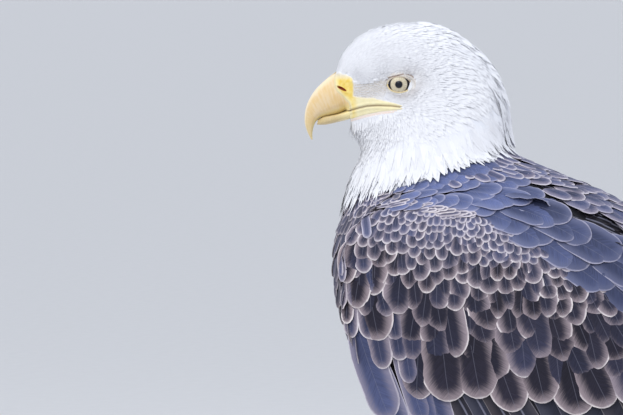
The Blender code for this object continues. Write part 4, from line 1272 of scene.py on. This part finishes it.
def seatHorn(mesh, surface):
    # the horn's rear runs on over the head, out of it ahead of the seam and into it behind
    places = placesOf(mesh)
    forward, up, side = inHead(places)
    near = np.flatnonzero((forward < 66 * mm) & (np.abs(side) > 3 * mm))
    outward = headLeft * np.sign(side[near])[:, None]
    found, _ = surface.castFrom(places[near] + outward * 0.05, -outward)
    onFace = (found - eyeMid) @ headLeft
    offset = np.clip(beyondSeam(forward, up)[near] / 1.2, -3.6, 0.22) * mm
    share = np.clip((66 * mm - forward[near]) / (5 * mm), 0, 1)
    wanted = onFace + np.sign(side[near]) * offset
    places[near] += headLeft * ((wanted - side[near]) * share)[:, None]
    movePlaces(mesh, places)


# stations: forward and up of the top, forward and up of the bottom, half width, mm
upperBill = {
    "stations": (
        (50, 15.0, 36.0, -21.6, 19.6), (54.4, 12.6, 41.8, -23.4, 17.0), (58.0, 10.0, 47.9, -24.8, 14.6),
        (63.5, 5.8, 53.5, -27.4, 14.0), (69.5, 0.6, 59.5, -28.8, 12.8), (75.5, -5.6, 65.0, -29.6, 11.2),
        (80.3, -12.8, 69.5, -30.6, 9.4), (83.6, -20.4, 73.0, -32.6, 7.6), (85.2, -28.6, 75.6, -35.6, 5.8),
        (85.0, -36.4, 77.3, -40.2, 4.1), (82.8, -43.8, 78.2, -45.4, 2.4), (79.2, -51.0, 78.0, -50.8, 0.7),
    ),
    "widest": 0.36, "fullness": 2.15, "rings": 72, "around": 80, "ease": 1.15,
}
lowerBill = {
    "stations": (
        (42.0, -23.4, 41.6, -30.6, 16.6), (47.0, -24.4, 46.0, -32.6, 15.9), (54.0, -26.8, 53.0, -34.4, 13.0),
        (61.0, -28.4, 60.5, -36.2, 10.6), (68.0, -29.8, 67.5, -37.4, 7.8), (73.2, -32.8, 74.0, -37.4, 3.8),
    ),
    "widest": 0.78, "fullness": 2.4, "rings": 36, "around": 60, "ease": 1.6,
}


def makeBill(surface):
    mesh = hornMesh("billUpper", upperBill)
    seatHorn(mesh, surface)
    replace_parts(newPiece("billUpper", mesh, billHorn), "bill_upper")
    mesh = hornMesh("billLower", lowerBill)
    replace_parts(newPiece("billLower", mesh, lowerShadedHorn), "bill_lower")
    print("bill made")


def makeClaw(toe, hand):
    # the CAD's claw, rounded; growth is the height from its sharp end
    name = f"{toe}_claw_{hand}"
    work = bmesh.new()
    work.from_mesh(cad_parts[name].data)
    bmesh.ops.remove_doubles(work, verts=work.verts, dist=1e-5)
    mesh = shaped(asMesh(work, name), ("SUBSURF", {"levels": 2}))
    mesh.shade_smooth()
    places = placesOf(mesh)
    far = np.linalg.norm(places - places[places[:, 2].argmin()], axis=1)
    none = np.zeros(len(places))
    addVectors(mesh, "growth", np.stack([1 - far / far.max(), none, none], 1))
    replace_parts(newPiece("claw_" + toe + "_" + hand, mesh, clawHorn), name)


def makeClaws():
    for toe in toes:
        for hand in hands:
            makeClaw(toe, hand)
    print("claws made")


def makeEyeMaterial():
    # a black pupil, a cream iris with fine rays and a dark ring round it
    material, tree, shader = newMaterial("eye", 0.12, 0.0)
    shader.inputs["Coat Weight"].default_value = 0.6
    across, level, above = partsOf(tree, "iris")
    radius = maths(tree, "MULTIPLY", across, 1000.0)
    spokes = joinXyz(
        tree, maths(tree, "MULTIPLY", level, 9.0), maths(tree, "MULTIPLY", radius, 0.25),
        maths(tree, "MULTIPLY", above, 9.0),
    )
    rays = noise(tree, spokes, 1.6, 3.0, 0.6)
    cream = mixColour(tree, ramp(tree, rays, 0.3, 0.7), (0.46, 0.39, 0.25), (0.66, 0.60, 0.46))
    inner = mixColour(tree, ramp(tree, radius, 3.3, 4.6), (0.42, 0.36, 0.26), cream)
    ringed = mixColour(tree, ramp(tree, radius, 7.1, 7.9), inner, (0.012, 0.010, 0.013))
    colour = mixColour(tree, ramp(tree, radius, 3.15, 3.5), (0.006, 0.008, 0.014), ringed)
    tree.links.new(colour, shader.inputs["Base Color"])
    return material


def makeEyes():
    look = {"around": 72, "rings": 48, "forwardTilt": math.radians(2.0)}
    material = makeEyeMaterial()
    for hand, outward, centre in zip(hands, (headLeft, -headLeft), (leftEye, rightEye)):
        name = "eyeBall_" + hand
        axis = outward * math.cos(look["forwardTilt"]) + headAhead * math.sin(look["forwardTilt"])
        first = unit(np.cross(upward, axis))
        second = np.cross(axis, first)
        polar = (np.linspace(0, 1, look["rings"]) ** 1.4 * math.pi)[:, None]
        turn = (np.arange(look["around"]) * 2 * math.pi / look["around"])[None]
        x, y, z = np.sin(polar) * np.cos(turn), np.sin(polar) * np.sin(turn), np.cos(polar) + 0 * turn
        ball = (x[..., None] * first + y[..., None] * second + z[..., None] * axis) * eyeRadius + centre
        mesh = meshFrom(name, ball.reshape(-1, 3), [ringQuads(look["rings"], look["around"])])
        across = np.where(z > 0, np.sin(polar) * eyeRadius, eyeRadius)
        iris = np.stack([across, np.cos(turn) + 0 * across, np.sin(turn) + 0 * across], -1)
        addVectors(mesh, "iris", iris.reshape(-1, 3))
        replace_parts(newPiece(name, mesh, material), "eye_" + hand)
    print("eyes made")


# the wing's outer surface at shares of its length: side, back of the eyes and above the eyes, mm
wingShape = {
    "shares": (0.0, 0.12, 0.24, 0.36, 0.46, 0.60, 0.74, 0.88, 1.0),
    "leading": (
        (114, -18, -168), (118, -13, -205), (120, -3, -232), (120, 8, -258), (119, 23, -287),
        (114, 62, -364), (104, 128, -444), (90, 226, -518), (72, 358, -582),
    ),
    "inner": (
        (58, 22, -88), (62, 100, -86), (60, 185, -113), (50, 266, -166), (39, 322, -244),
        (35, 350, -315), (44, 370, -394), (58, 392, -468), (66, 440, -540),
    ),
    "bulge": 11 * mm, "frontBulge": 10 * mm, "shoulderLift": 6 * mm, "inset": 3.0 * mm,
}
bodyZero = eyeMid[1] - pivotBack * (1 - math.cos(headTurn))  # where the eyes would be with the head straight
profileUp = 4.5 * mm  # heights beside the wing are counted from this far above the eyes


def wingPoint(s, r):
    # the left wing's outer surface: s from its front to its tip, r from its leading to its inner edge
    s, r = np.broadcast_arrays(np.asarray(s, float), np.asarray(r, float))
    shares = wingShape["shares"]
    station = np.interp(s, shares, np.linspace(0, 1, len(shares)))
    leading = through(wingShape["leading"], station) * mm
    inner = through(wingShape["inner"], station) * mm
    r = np.clip(r, 0, 1)
    point = leading + (inner - leading) * r[..., None]
    point[..., 0] = inner[..., 0] + (leading[..., 0] - inner[..., 0]) * (1 - r**2.6) ** 0.8
    arch = np.sin(math.pi * r)
    point[..., 0] += wingShape["bulge"] * (1 - np.clip(s, 0, 1) ** 1.5) * arch**0.8
    point[..., 1] -= wingShape["frontBulge"] * np.exp(-((s / 0.1) ** 2)) * arch
    along = np.sin(math.pi * np.clip((s - 0.03) / 0.47, 0, 1)) ** 0.7
    lift = wingShape["shoulderLift"] * along * np.clip((r - 0.80 + 0.18 * along) / 0.05, 0, 1)
    point[..., 0] += lift * 0.8
    point[..., 1] += bodyZero
    point[..., 2] += lift * 0.6 + eyeMid[2]
    return point


def wingPaths(s, r):
    # points on the wing with their outward normals
    step = 0.01
    point = wingPoint(s, r)
    alongWing = wingPoint(np.clip(s + step, 0, 1), r) - wingPoint(np.clip(s - step, 0, 1), r)
    across = wingPoint(s, np.clip(r + step, 0, 1)) - wingPoint(s, np.clip(r - step, 0, 1))
    normal = unit(np.cross(alongWing, across))
    normal *= np.where(normal[..., :1] < 0, -1, 1)
    return point, normal


wingShares = np.stack(np.meshgrid(np.linspace(0, 1, 90), np.linspace(0, 1, 50), indexing="ij"), -1)
wingShares = wingShares.reshape(-1, 2)
wingDots = wingPoint(wingShares[:, 0], wingShares[:, 1])


def wingUv(points):
    # where a root lies on the wing laid flat: across it, and along it
    apart = ((points[:, None, :] - wingDots[None]) ** 2).sum(-1)
    found = wingShares[apart.argmin(1)]
    return 0.03 + 0.94 * found[:, ::-1]


def besideWing(away, up):
    # a place beside the left wing, by its distance back of the eye and above it as seen along the head's left
    return headPlace(-away * mm, up * mm + profileUp, 0.35)


def seenBeside(points):
    # the same the other way round: how far back of the eye and above it a point of either wing is, mm
    points = points * np.where(points[..., :1] < 0, (-1.0, 1.0, 1.0), 1.0)
    return -(points - eyeMid) @ headAhead / mm, (points - eyeMid)[..., 2] / mm - profileUp / mm


def layQuill(away, up, lean, length):
    # root on the flesh for a feather whose tip is seen at away, up
    lean = np.radians(lean)
    root = besideWing(away - np.cos(lean) * length, up + np.sin(lean) * length)
    flow = -headAhead * np.cos(lean)[:, None] - upward * np.sin(lean)[:, None]
    places, normals = whole.castFrom(root, np.broadcast_to(-headLeft, root.shape))
    return places, normals, flow


# rows of coverts, mm: height of the tips 60 back of the eye, first and last tip, width, length
covertRows = (
    (-121, -58, 66, 7, 15),
    (-126.5, -60, 84, 7.5, 16),
    (-132.5, -62, 100, 8.5, 17),
    (-139, -62, 116, 9.5, 18),
    (-146, -62, 132, 11, 20),
    (-153.5, -60, 148, 12.5, 23),
    (-161.5, -60, 166, 14.5, 26),
    (-170.5, -60, 186, 17, 30),
    (-180.5, -58, 206, 19.5, 35),
    (-192, -58, 226, 22.5, 41),
    (-205, -56, 246, 26, 48),
    (-220, -54, 266, 30, 56),
    (-238, -20, 286, 34, 66),
    (-258, -6, 305, 37, 76),
    (-281, 12, 320, 40, 86),
)
# feathers of the wing's front edge: tip back of and above the eye, width, length, lean
frontQuills = (
    (-31, -170, 16, 30, 82), (-24, -187, 20, 40, 80), (-40, -200, 17, 38, 84), (-10, -208, 23, 46, 72),
    (-27, -228, 18, 50, 80), (-3, -229, 19, 48, 78), (-44, -228, 17, 50, 84), (-14, -254, 24, 60, 76),
    (0, -246, 20, 56, 80), (9, -267, 22, 60, 80),
)
# the thumb's feathers below them, in the same way
thumbQuills = (
    (-18, -270, 31, 96, 66), (-3, -297, 32, 106, 66), (10, -325, 29, 110, 66), (22, -300, 24, 90, 70),
    (32, -318, 24, 90, 72), (44, -330, 25, 90, 72),
)
# edges of the shoulder feathers, back of and above the eye: lowest tips, highest tips, slate to brown
shoulderEdge = {
    "away": (-30, 20, 60, 90, 105, 123, 169, 193, 260, 330),
    "lower": (-110, -117, -120, -131, -140, -150, -179, -192, -228, -262),
    "upper": (-102, -86, -74, -76, -86, -101, -125, -139, -182, -238),
    "brown": (-100, -84, -81, -82.5, -87, -95, -119, -134, -178, -236),
}
# lower edge of the white hackles: back of and above the eye, and their lean
hackleEdge = {
    "away": (-60, -50, -36, -22, 0, 19, 46, 73, 91, 100, 112),
    "up": (-130, -119, -111, -105, -100, -96, -90, -80, -69, -62, -52),
    "lean": (94, 93, 91, 89, 85, 81, 73, 64, 58, 55, 52),
}
quillLook = dict(
    bodyLook, columns=(-1, -0.7, -0.36, 0, 0.36, 0.7, 1), bodyRows=6, tipRows=7, rootShare=0.45, camber=0.15,
    point=0.16, tipRound=0.58, patchRatio=2.2, rise=1.3, tilt=0.0, rollRange=0.1, loose=0.9,
)
covertLook = dict(quillLook, sink=0.09, ragged=0.2, turned=6, marks=(0.5, 0.72, 0.97))
shoulderLay = dict(
    quillLook, sink=0.06, camber=0.10, point=0.1, tipRound=0.5, tilt=-0.05, rollRange=0.05, loose=0.5,
    start=8.0, end=330, pitch=0.62, step=0.5, long=2.0,
)
gapLay = dict(shoulderLay, tilt=0.0, point=0.5)
fringeLook = dict(quillLook, columns=(-1, 0, 1), bodyRows=3, tipRows=4, sink=0.05, camber=0.1)
hackleLook = dict(
    quillLook, columns=(-1, 0, 1), bodyRows=4, tipRows=4, rootShare=0.75, camber=0.06, point=0.92, sink=0.04,
    tipRound=99, tipLeast=0.35, patchRatio=None, rise=1.5, rollRange=0.03,
)
flightLay = dict(
    quillLook, bodyRows=14, rootShare=0.8, camber=0.10, point=0.25, tilt=-0.10, patchRatio=12, tipRound=0.9,
)
tailLay = dict(
    quillLook, bodyRows=12, rootShare=0.75, camber=0.10, patchRatio=12, tipRound=0.6, point=0.15, count=12,
    length=0.156, width=0.034, slope=52, fan=(33, 21), arch=9 * mm, sink=1.2 * mm,
)


def onEdge(edge, away, part):
    return np.interp(away, edge["away"], edge[part])


def inGap(points):
    # within the dark gap between the shoulder feathers and the back's
    away, up = seenBeside(points)
    over = up - onEdge(shoulderEdge, away, "upper")
    return (away > 105) & (over > -1) & (over < np.interp(away, (105, 200, 222, 240), (-0.5, 7.5, 5, -2)))


def underShoulder(points):
    # where the shoulder feathers lie over the body's own
    away, up = seenBeside(points)
    low = onEdge(shoulderEdge, away, "lower") - 4
    high = onEdge(shoulderEdge, away, "brown") + 5
    return (away > 0) & (up > low) & (up < high) & (np.abs(points[..., 0]) > 36 * mm)


def bothSides(name, nodes, look, material, roll, feathers):
    # the left side's feathers as a piece, and mirrored as the right side's
    for hand, replaced, mirror in zip(hands, nodes, (1.0, -1.0)):
        flip = np.array((mirror, 1.0, 1.0))
        turned = dict(feathers, paths=feathers["paths"] * flip, normals=feathers["normals"] * flip)
        mesh = vaneMesh(name + "_" + hand, look, roll=roll * mirror, **turned)
        made = newPiece(name + "_" + hand, mesh, material)
        if replaced:
            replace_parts(made, replaced)
        report(mesh, len(roll))


def quillPieces(name, quills, look, material, rng):
    # quills (away, up, width, length, lean, mark, lift) laid on the left wing and mirrored to the right
    away, up, width, length, lean, mark, lift = (np.array(v, float) for v in zip(*quills))
    places, normals, flow = layQuill(away, up, lean, length)
    count = len(places)
    lengths = length * mm
    widths = width * mm * rng.uniform(0.92, 1.1, count)
    along, tipStart = capRows(look, lengths, widths)
    paths, ups = lay(whole, places, normals, lengths, along, lambda at: flow, np.zeros(count))
    sink = np.minimum(look["sink"] * lengths, 4.2 * mm)
    heights = -sink[:, None] * (1 - along) ** look["rise"] + (lift * mm)[:, None] - wingShape["inset"]
    heights += rng.uniform(0, look["loose"] * mm, count)[:, None] * along
    roll = look["tilt"] + rng.uniform(-look["rollRange"], look["rollRange"], count)
    tones = rng.uniform(0, 1, count)
    feathers = {
        "paths": paths, "normals": ups, "lengths": lengths, "widths": widths, "heights": heights,
        "tones": tones, "marks": np.clip(mark + rng.normal(0, 0.06, count), 0, 1), "uvRoots": wingUv(places),
    }
    bothSides(name, (None, None), look, material, roll, feathers)


def makeCoverts():
    rng = np.random.default_rng(11)
    quills = []
    for number, (up, first, last, width, length) in enumerate(covertRows):
        pitch = width * np.interp(width, (7, 12, 22, 40), (0.58, 0.6, 0.66, 0.72))
        slope = 0.14 if number < 12 else 0.09
        steps = np.arange(first + (number % 2) * pitch / 2, last, pitch)
        for away in steps + rng.uniform(-0.14, 0.14, len(steps)) * pitch:
            tip = up - slope * (min(away, 165) - 60) + max(away - 165, 0) * 0.16 * (number >= 12)
            tip += rng.uniform(-covertLook["ragged"], covertLook["ragged"]) * width
            rises = onEdge(shoulderEdge, away, "lower")
            if tip > rises + 10:
                continue
            lean = 90 - np.clip(away / 200, 0, 1.3) * 24 - 14 * np.exp(-(rises - tip) / 14) * (away > 60)
            lean += 14 * np.clip((20 - away) / 60, 0, 1) * (number < 7)
            lean += rng.normal(0, covertLook["turned"])
            # the upper rows get more of the slate, the painted sky sheen on the wing's top; the lower rows
            # are brown
            mark = np.interp(number, (0, 5, 8), covertLook["marks"])
            quills.append((away, tip, width * rng.uniform(0.8, 1.15), length, lean, mark, 0.0))
    quills += [(*quill, 0.72, 0.5) for quill in frontQuills]
    quills += [(*quill, 0.48, 0.6 - 0.35 * number) for number, quill in enumerate(thumbQuills)]
    quillPieces("wingCoat", quills, covertLook, darkFeathers, rng)


def makeShoulders():
    # slate feathers, their blue partly painted sheen, from the lower edge up, larger to the rear; on the back
    # side they stop at the gap
    rng = np.random.default_rng(13)
    quills = []
    away = shoulderLay["start"]
    number = 0
    while away < shoulderLay["end"]:
        low = onEdge(shoulderEdge, away, "lower")
        border = onEdge(shoulderEdge, away, "brown")
        width = np.interp(away, (-14, 40, 70, 100, 160, 330), (10, 14, 18, 22, 29, 34))
        lean = np.interp(away, (-14, 40, 100, 190, 330), (12, 20, 37, 44, 52))
        pitch = width * shoulderLay["pitch"]
        topmost = onEdge(shoulderEdge, away, "upper") - width * 0.6 if away > 105 else border
        rows = max(int((topmost - low) / pitch), 0) + 1
        for row in range(rows):
            tip = min(low + pitch * (row + 0.5 * (number % 2)) + 1, max(topmost, low))
            tip += rng.uniform(-1, 1) * width * 0.08
            turned = lean - 6 * row / rows + rng.normal(0, 3)
            shift = rng.uniform(-0.12, 0.12) * width
            brown = np.interp(tip - border, (-10, 3), (0.05, 0.6)) + np.interp(away, (90, 150), (0.0, 0.6))
            hidden = np.clip((tip - onEdge(hackleEdge, away, "up") + 8) / 8, 0, 1) * (away < 108)
            lift = 0.7 + 0.08 * min(row, 4) - 2.2 * hidden
            wide = width * rng.uniform(0.95, 1.15)
            quills.append((away + shift, tip, wide, width * shoulderLay["long"], turned, brown, lift))
        away += width * shoulderLay["step"]
        number += 1
    quillPieces("shoulderCoat", quills, shoulderLay, shoulderFeathers, rng)
    makeGap(rng)


def makeGap(rng):
    # near-black feathers deep between the shoulder's and the back's: painted shadow for the gap
    quills = []
    for away in np.arange(124, 270, 9):
        up = onEdge(shoulderEdge, away, "upper")
        for raised in (-2, 3, 8):
            quills.append((away + rng.uniform(-4, 4), up + raised, 10, 44, 30 + rng.normal(0, 2), 1.0, -2.2))
    quillPieces("gapShadeCoat", quills, gapLay, gapShadeFeathers, rng)


def makeFringe():
    # a few small feathers with pale rims that show under the shoulder's
    rng = np.random.default_rng(31)
    quills = []
    for away in np.arange(-16, 62, 3.4):
        up = onEdge(shoulderEdge, away, "lower") + rng.uniform(-1.5, 1.5)
        width, length, lean = rng.uniform(4, 6), rng.uniform(20, 30), rng.uniform(2, 12)
        quills.append((away + 8, up + 1, width, length, lean, 0.7, 0.9))
    quillPieces("fringe", quills, fringeLook, darkFeathers, rng)


def makeHackles():
    # pointed locks of white feathers over the shoulders, each a few strands drawn to one tip
    rng = np.random.default_rng(19)
    quills = []
    for row, (raised, lift) in enumerate(((0, 2.6), (9, 2.4), (18, 1.8), (27, 0.9))):
        away = -62.0 + row * 2
        while away < 112 - row * 3:
            up = onEdge(hackleEdge, away, "up") + raised + rng.uniform(-2.5, 2)
            up += 2.4 * math.sin(away / 3.4 + row) + 1.6 * math.sin(away / 7.9)
            lean = onEdge(hackleEdge, away, "lean") + rng.normal(0, 4)
            turned = math.radians(lean)
            length = rng.uniform(28, 38)
            quills.append((away, up, rng.uniform(10, 14), length, lean, 0.0, lift - 0.3))
            for offset in (-1, -0.3, 0.5):
                short = rng.uniform(0, 3) + abs(offset) * rng.uniform(2, 8)
                quills.append((
                    away - short * math.cos(turned) + rng.normal(0, 0.6), up + short * math.sin(turned),
                    rng.uniform(5.4, 7.6), length - short, lean + offset * 6, 0.0, lift,
                ))
            away += rng.uniform(3, 6)
    quillPieces("hackles", quills, hackleLook, whiteFeathers, rng)


def flightPieces(name, quills, rng):
    # long feathers on the wing's own directions: r at root and tip, s at root and tip, width and lift in mm
    fromR, toR, fromS, toS, width, lift = (np.array(v, float) for v in zip(*quills))
    count = len(quills)
    ends, _ = wingPaths(np.stack([fromS, toS], 1), np.stack([fromR, toR], 1))
    lengths = np.linalg.norm(ends[:, 1] - ends[:, 0], axis=1) * 1.05
    widths = width * mm
    along, tipStart = capRows(flightLay, lengths, widths)
    s = fromS[:, None] + (toS - fromS)[:, None] * along
    r = fromR[:, None] + (toR - fromR)[:, None] * along
    paths, ups = wingPaths(s, r)
    feathers = {
        "paths": paths, "normals": ups, "lengths": lengths, "widths": widths,
        "heights": lift[:, None] * mm - (2.0 * mm) * (1 - along) - wingShape["inset"],
        "tones": rng.uniform(0.2, 0.8, count), "marks": np.clip(rng.normal(0.6, 0.15, count), 0, 1),
        "uvRoots": 0.05 + 0.9 * np.stack([fromR, fromS], 1),
    }
    nodes = [f"wing_{hand}_{name}" for hand in hands]
    roll = np.full(count, flightLay["tilt"])
    bothSides(name, nodes, flightLay, flightFeathers, roll, feathers)


def makeFlight():
    rng = np.random.default_rng(17)
    primaries = []
    for number in range(8):
        share = number / 7
        end = 1 - 0.07 * max(1 - share / 0.3, 0) ** 2 - 0.20 * max((share - 0.3) / 0.7, 0) ** 1.2
        root, tip = 0.03 + 0.37 * share, 0.06 + 0.42 * share
        primaries.append((root, tip, 0.44, end - 0.01, 24, -5.5 + number * 0.8))
    flightPieces("primaries", primaries, rng)
    secondaries = []
    for number in range(11):
        share = number / 10
        end = 0.75 - 0.12 * share
        root = 0.40 + 0.56 * share
        secondaries.append((root, root + 0.04, 0.42, end - 0.005, 40 - 4 * share, -6.0 + number * 0.6))
    flightPieces("secondaries", secondaries, rng)


def makeTail():
    # a fan of feathers, arched across, that slopes back from under the white coverts
    rng = np.random.default_rng(23)
    count = tailLay["count"]
    across = (np.arange(count) + 0.5) / count * 2 - 1
    lengths = tailLay["length"] * (1 - 0.08 * across**2)
    widths = np.full(count, tailLay["width"])
    along, tipStart = capRows(tailLay, lengths, widths)
    slope = math.radians(tailLay["slope"])
    down = np.array((0, math.cos(slope), -math.sin(slope)))
    lift = np.array((0, math.sin(slope), math.cos(slope)))
    start = np.array((0, bodyZero + 404.3 * mm, eyeMid[2] - 410.5 * mm)) - down * 18 * mm
    paths = start + (along * lengths[:, None])[..., None] * down
    paths[..., 0] += across[:, None] * (tailLay["fan"][0] + tailLay["fan"][1] * along) * mm
    arch = tailLay["arch"] * (1 - across**2) - tailLay["sink"]
    paths = paths + arch[:, None, None] * lift
    ups = np.broadcast_to(lift, paths.shape).copy()
    ups[..., 0] += across[:, None] * 0.25
    heights = np.full(along.shape, -tailLay["sink"]) + (rng.uniform(-0.2, 0.2, count) * mm)[:, None]
    roots = np.stack([0.5 + across * 0.42, np.full(count, 0.5)], 1)
    tones = rng.uniform(0, 1, count)
    mesh = vaneMesh(
        "tailFeathers", tailLay, paths, unit(ups), lengths, widths, heights, -np.sign(across) * 0.05, tones,
        np.full(count, 0.2), roots,
    )
    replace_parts(newPiece("tailFeathers", mesh, tailFeathers), "tail")
    report(mesh, count)


makeCoats()
makeBill(makeSkin())
makeClaws()
makeEyes()
makeTail()
makeCoverts()
makeShoulders()
makeFringe()
makeHackles()
makeFlight()


def viewBack(azimuth, elevation):
    # the direction from the model to a light or a camera, turned from the front in degrees
    a = math.radians(azimuth)
    e = math.radians(elevation)
    return Vector((math.sin(a) * math.cos(e), -math.cos(a) * math.cos(e), math.sin(e)))


def makeStage():
    bpy.ops.mesh.primitive_plane_add(size=800.0, location=(0, 0, -0.2 * mm))
    floor = bpy.context.object
    floor.name = "floor"
    material, tree, shader = newMaterial("floor", 0.9)
    colour = mixColour(tree, noise(tree, placeOn(tree), 40.0), (0.70, 0.70, 0.69), (0.74, 0.74, 0.73))
    tree.links.new(colour, shader.inputs["Base Color"])
    floor.data.materials.append(material)
    print("floor made")


def makeLights():
    # name, azimuth, elevation, distance, size, power, colour
    lamps = (
        ("key", 72, 44, 2.4, 1.6, 15, (1.0, 0.98, 0.95)),
        ("front", 25, 30, 2.4, 1.6, 8, (0.95, 0.97, 1.0)),
        ("top", 120, 80, 2.2, 2.2, 13, (0.84, 0.91, 1.0)),
        ("back", 250, 35, 2.6, 1.4, 8, (0.92, 0.95, 1.0)),
        ("catch", 97, 28, 2.4, 0.8, 8, (0.95, 0.97, 1.0)),
    )
    world = bpy.data.worlds.new("studio")
    bpy.context.scene.world = world
    world.use_nodes = True
    world.node_tree.nodes["Background"].inputs["Color"].default_value = (0.86, 0.90, 1.0, 1.0)
    world.node_tree.nodes["Background"].inputs["Strength"].default_value = 0.92
    for name, azimuth, elevation, distance, size, power, colour in lamps:
        light = bpy.data.lights.new(name, "AREA")
        light.shape = "DISK"
        light.size = size
        light.energy = power
        light.color = colour
        lamp = newObject(name, light)
        back = viewBack(azimuth, elevation)
        lamp.location = Vector((0, 0, 0.5)) + back * distance
        lamp.rotation_euler = back.to_track_quat("Z", "Y").to_euler()
    print("lights made")


def makeCamera():
    # the near eye stands right of the view's middle and above it by these lengths
    look = {
        "azimuth": 110, "elevation": 3, "lens": 250, "sensor": 36,
        "across": 0.5607, "right": 0.079, "up": 0.1107,
    }
    back = viewBack(look["azimuth"], look["elevation"])
    right = Vector((0, 0, 1)).cross(back).normalized()
    eye = Vector(leftEye + headLeft * eyeRadius)
    aim = eye - right * look["right"] - back.cross(right) * look["up"]
    data = bpy.data.cameras.new("camera")
    data.lens = look["lens"]
    data.sensor_width = look["sensor"]
    camera = newObject("camera", data)
    camera.location = aim + back * (look["across"] * look["lens"] / look["sensor"])
    camera.rotation_euler = back.to_track_quat("Z", "Y").to_euler()
    bpy.context.scene.camera = camera
    print("camera set")


makeStage()
makeLights()
makeCamera()
bpy.context.scene.view_settings.view_transform = "Standard"
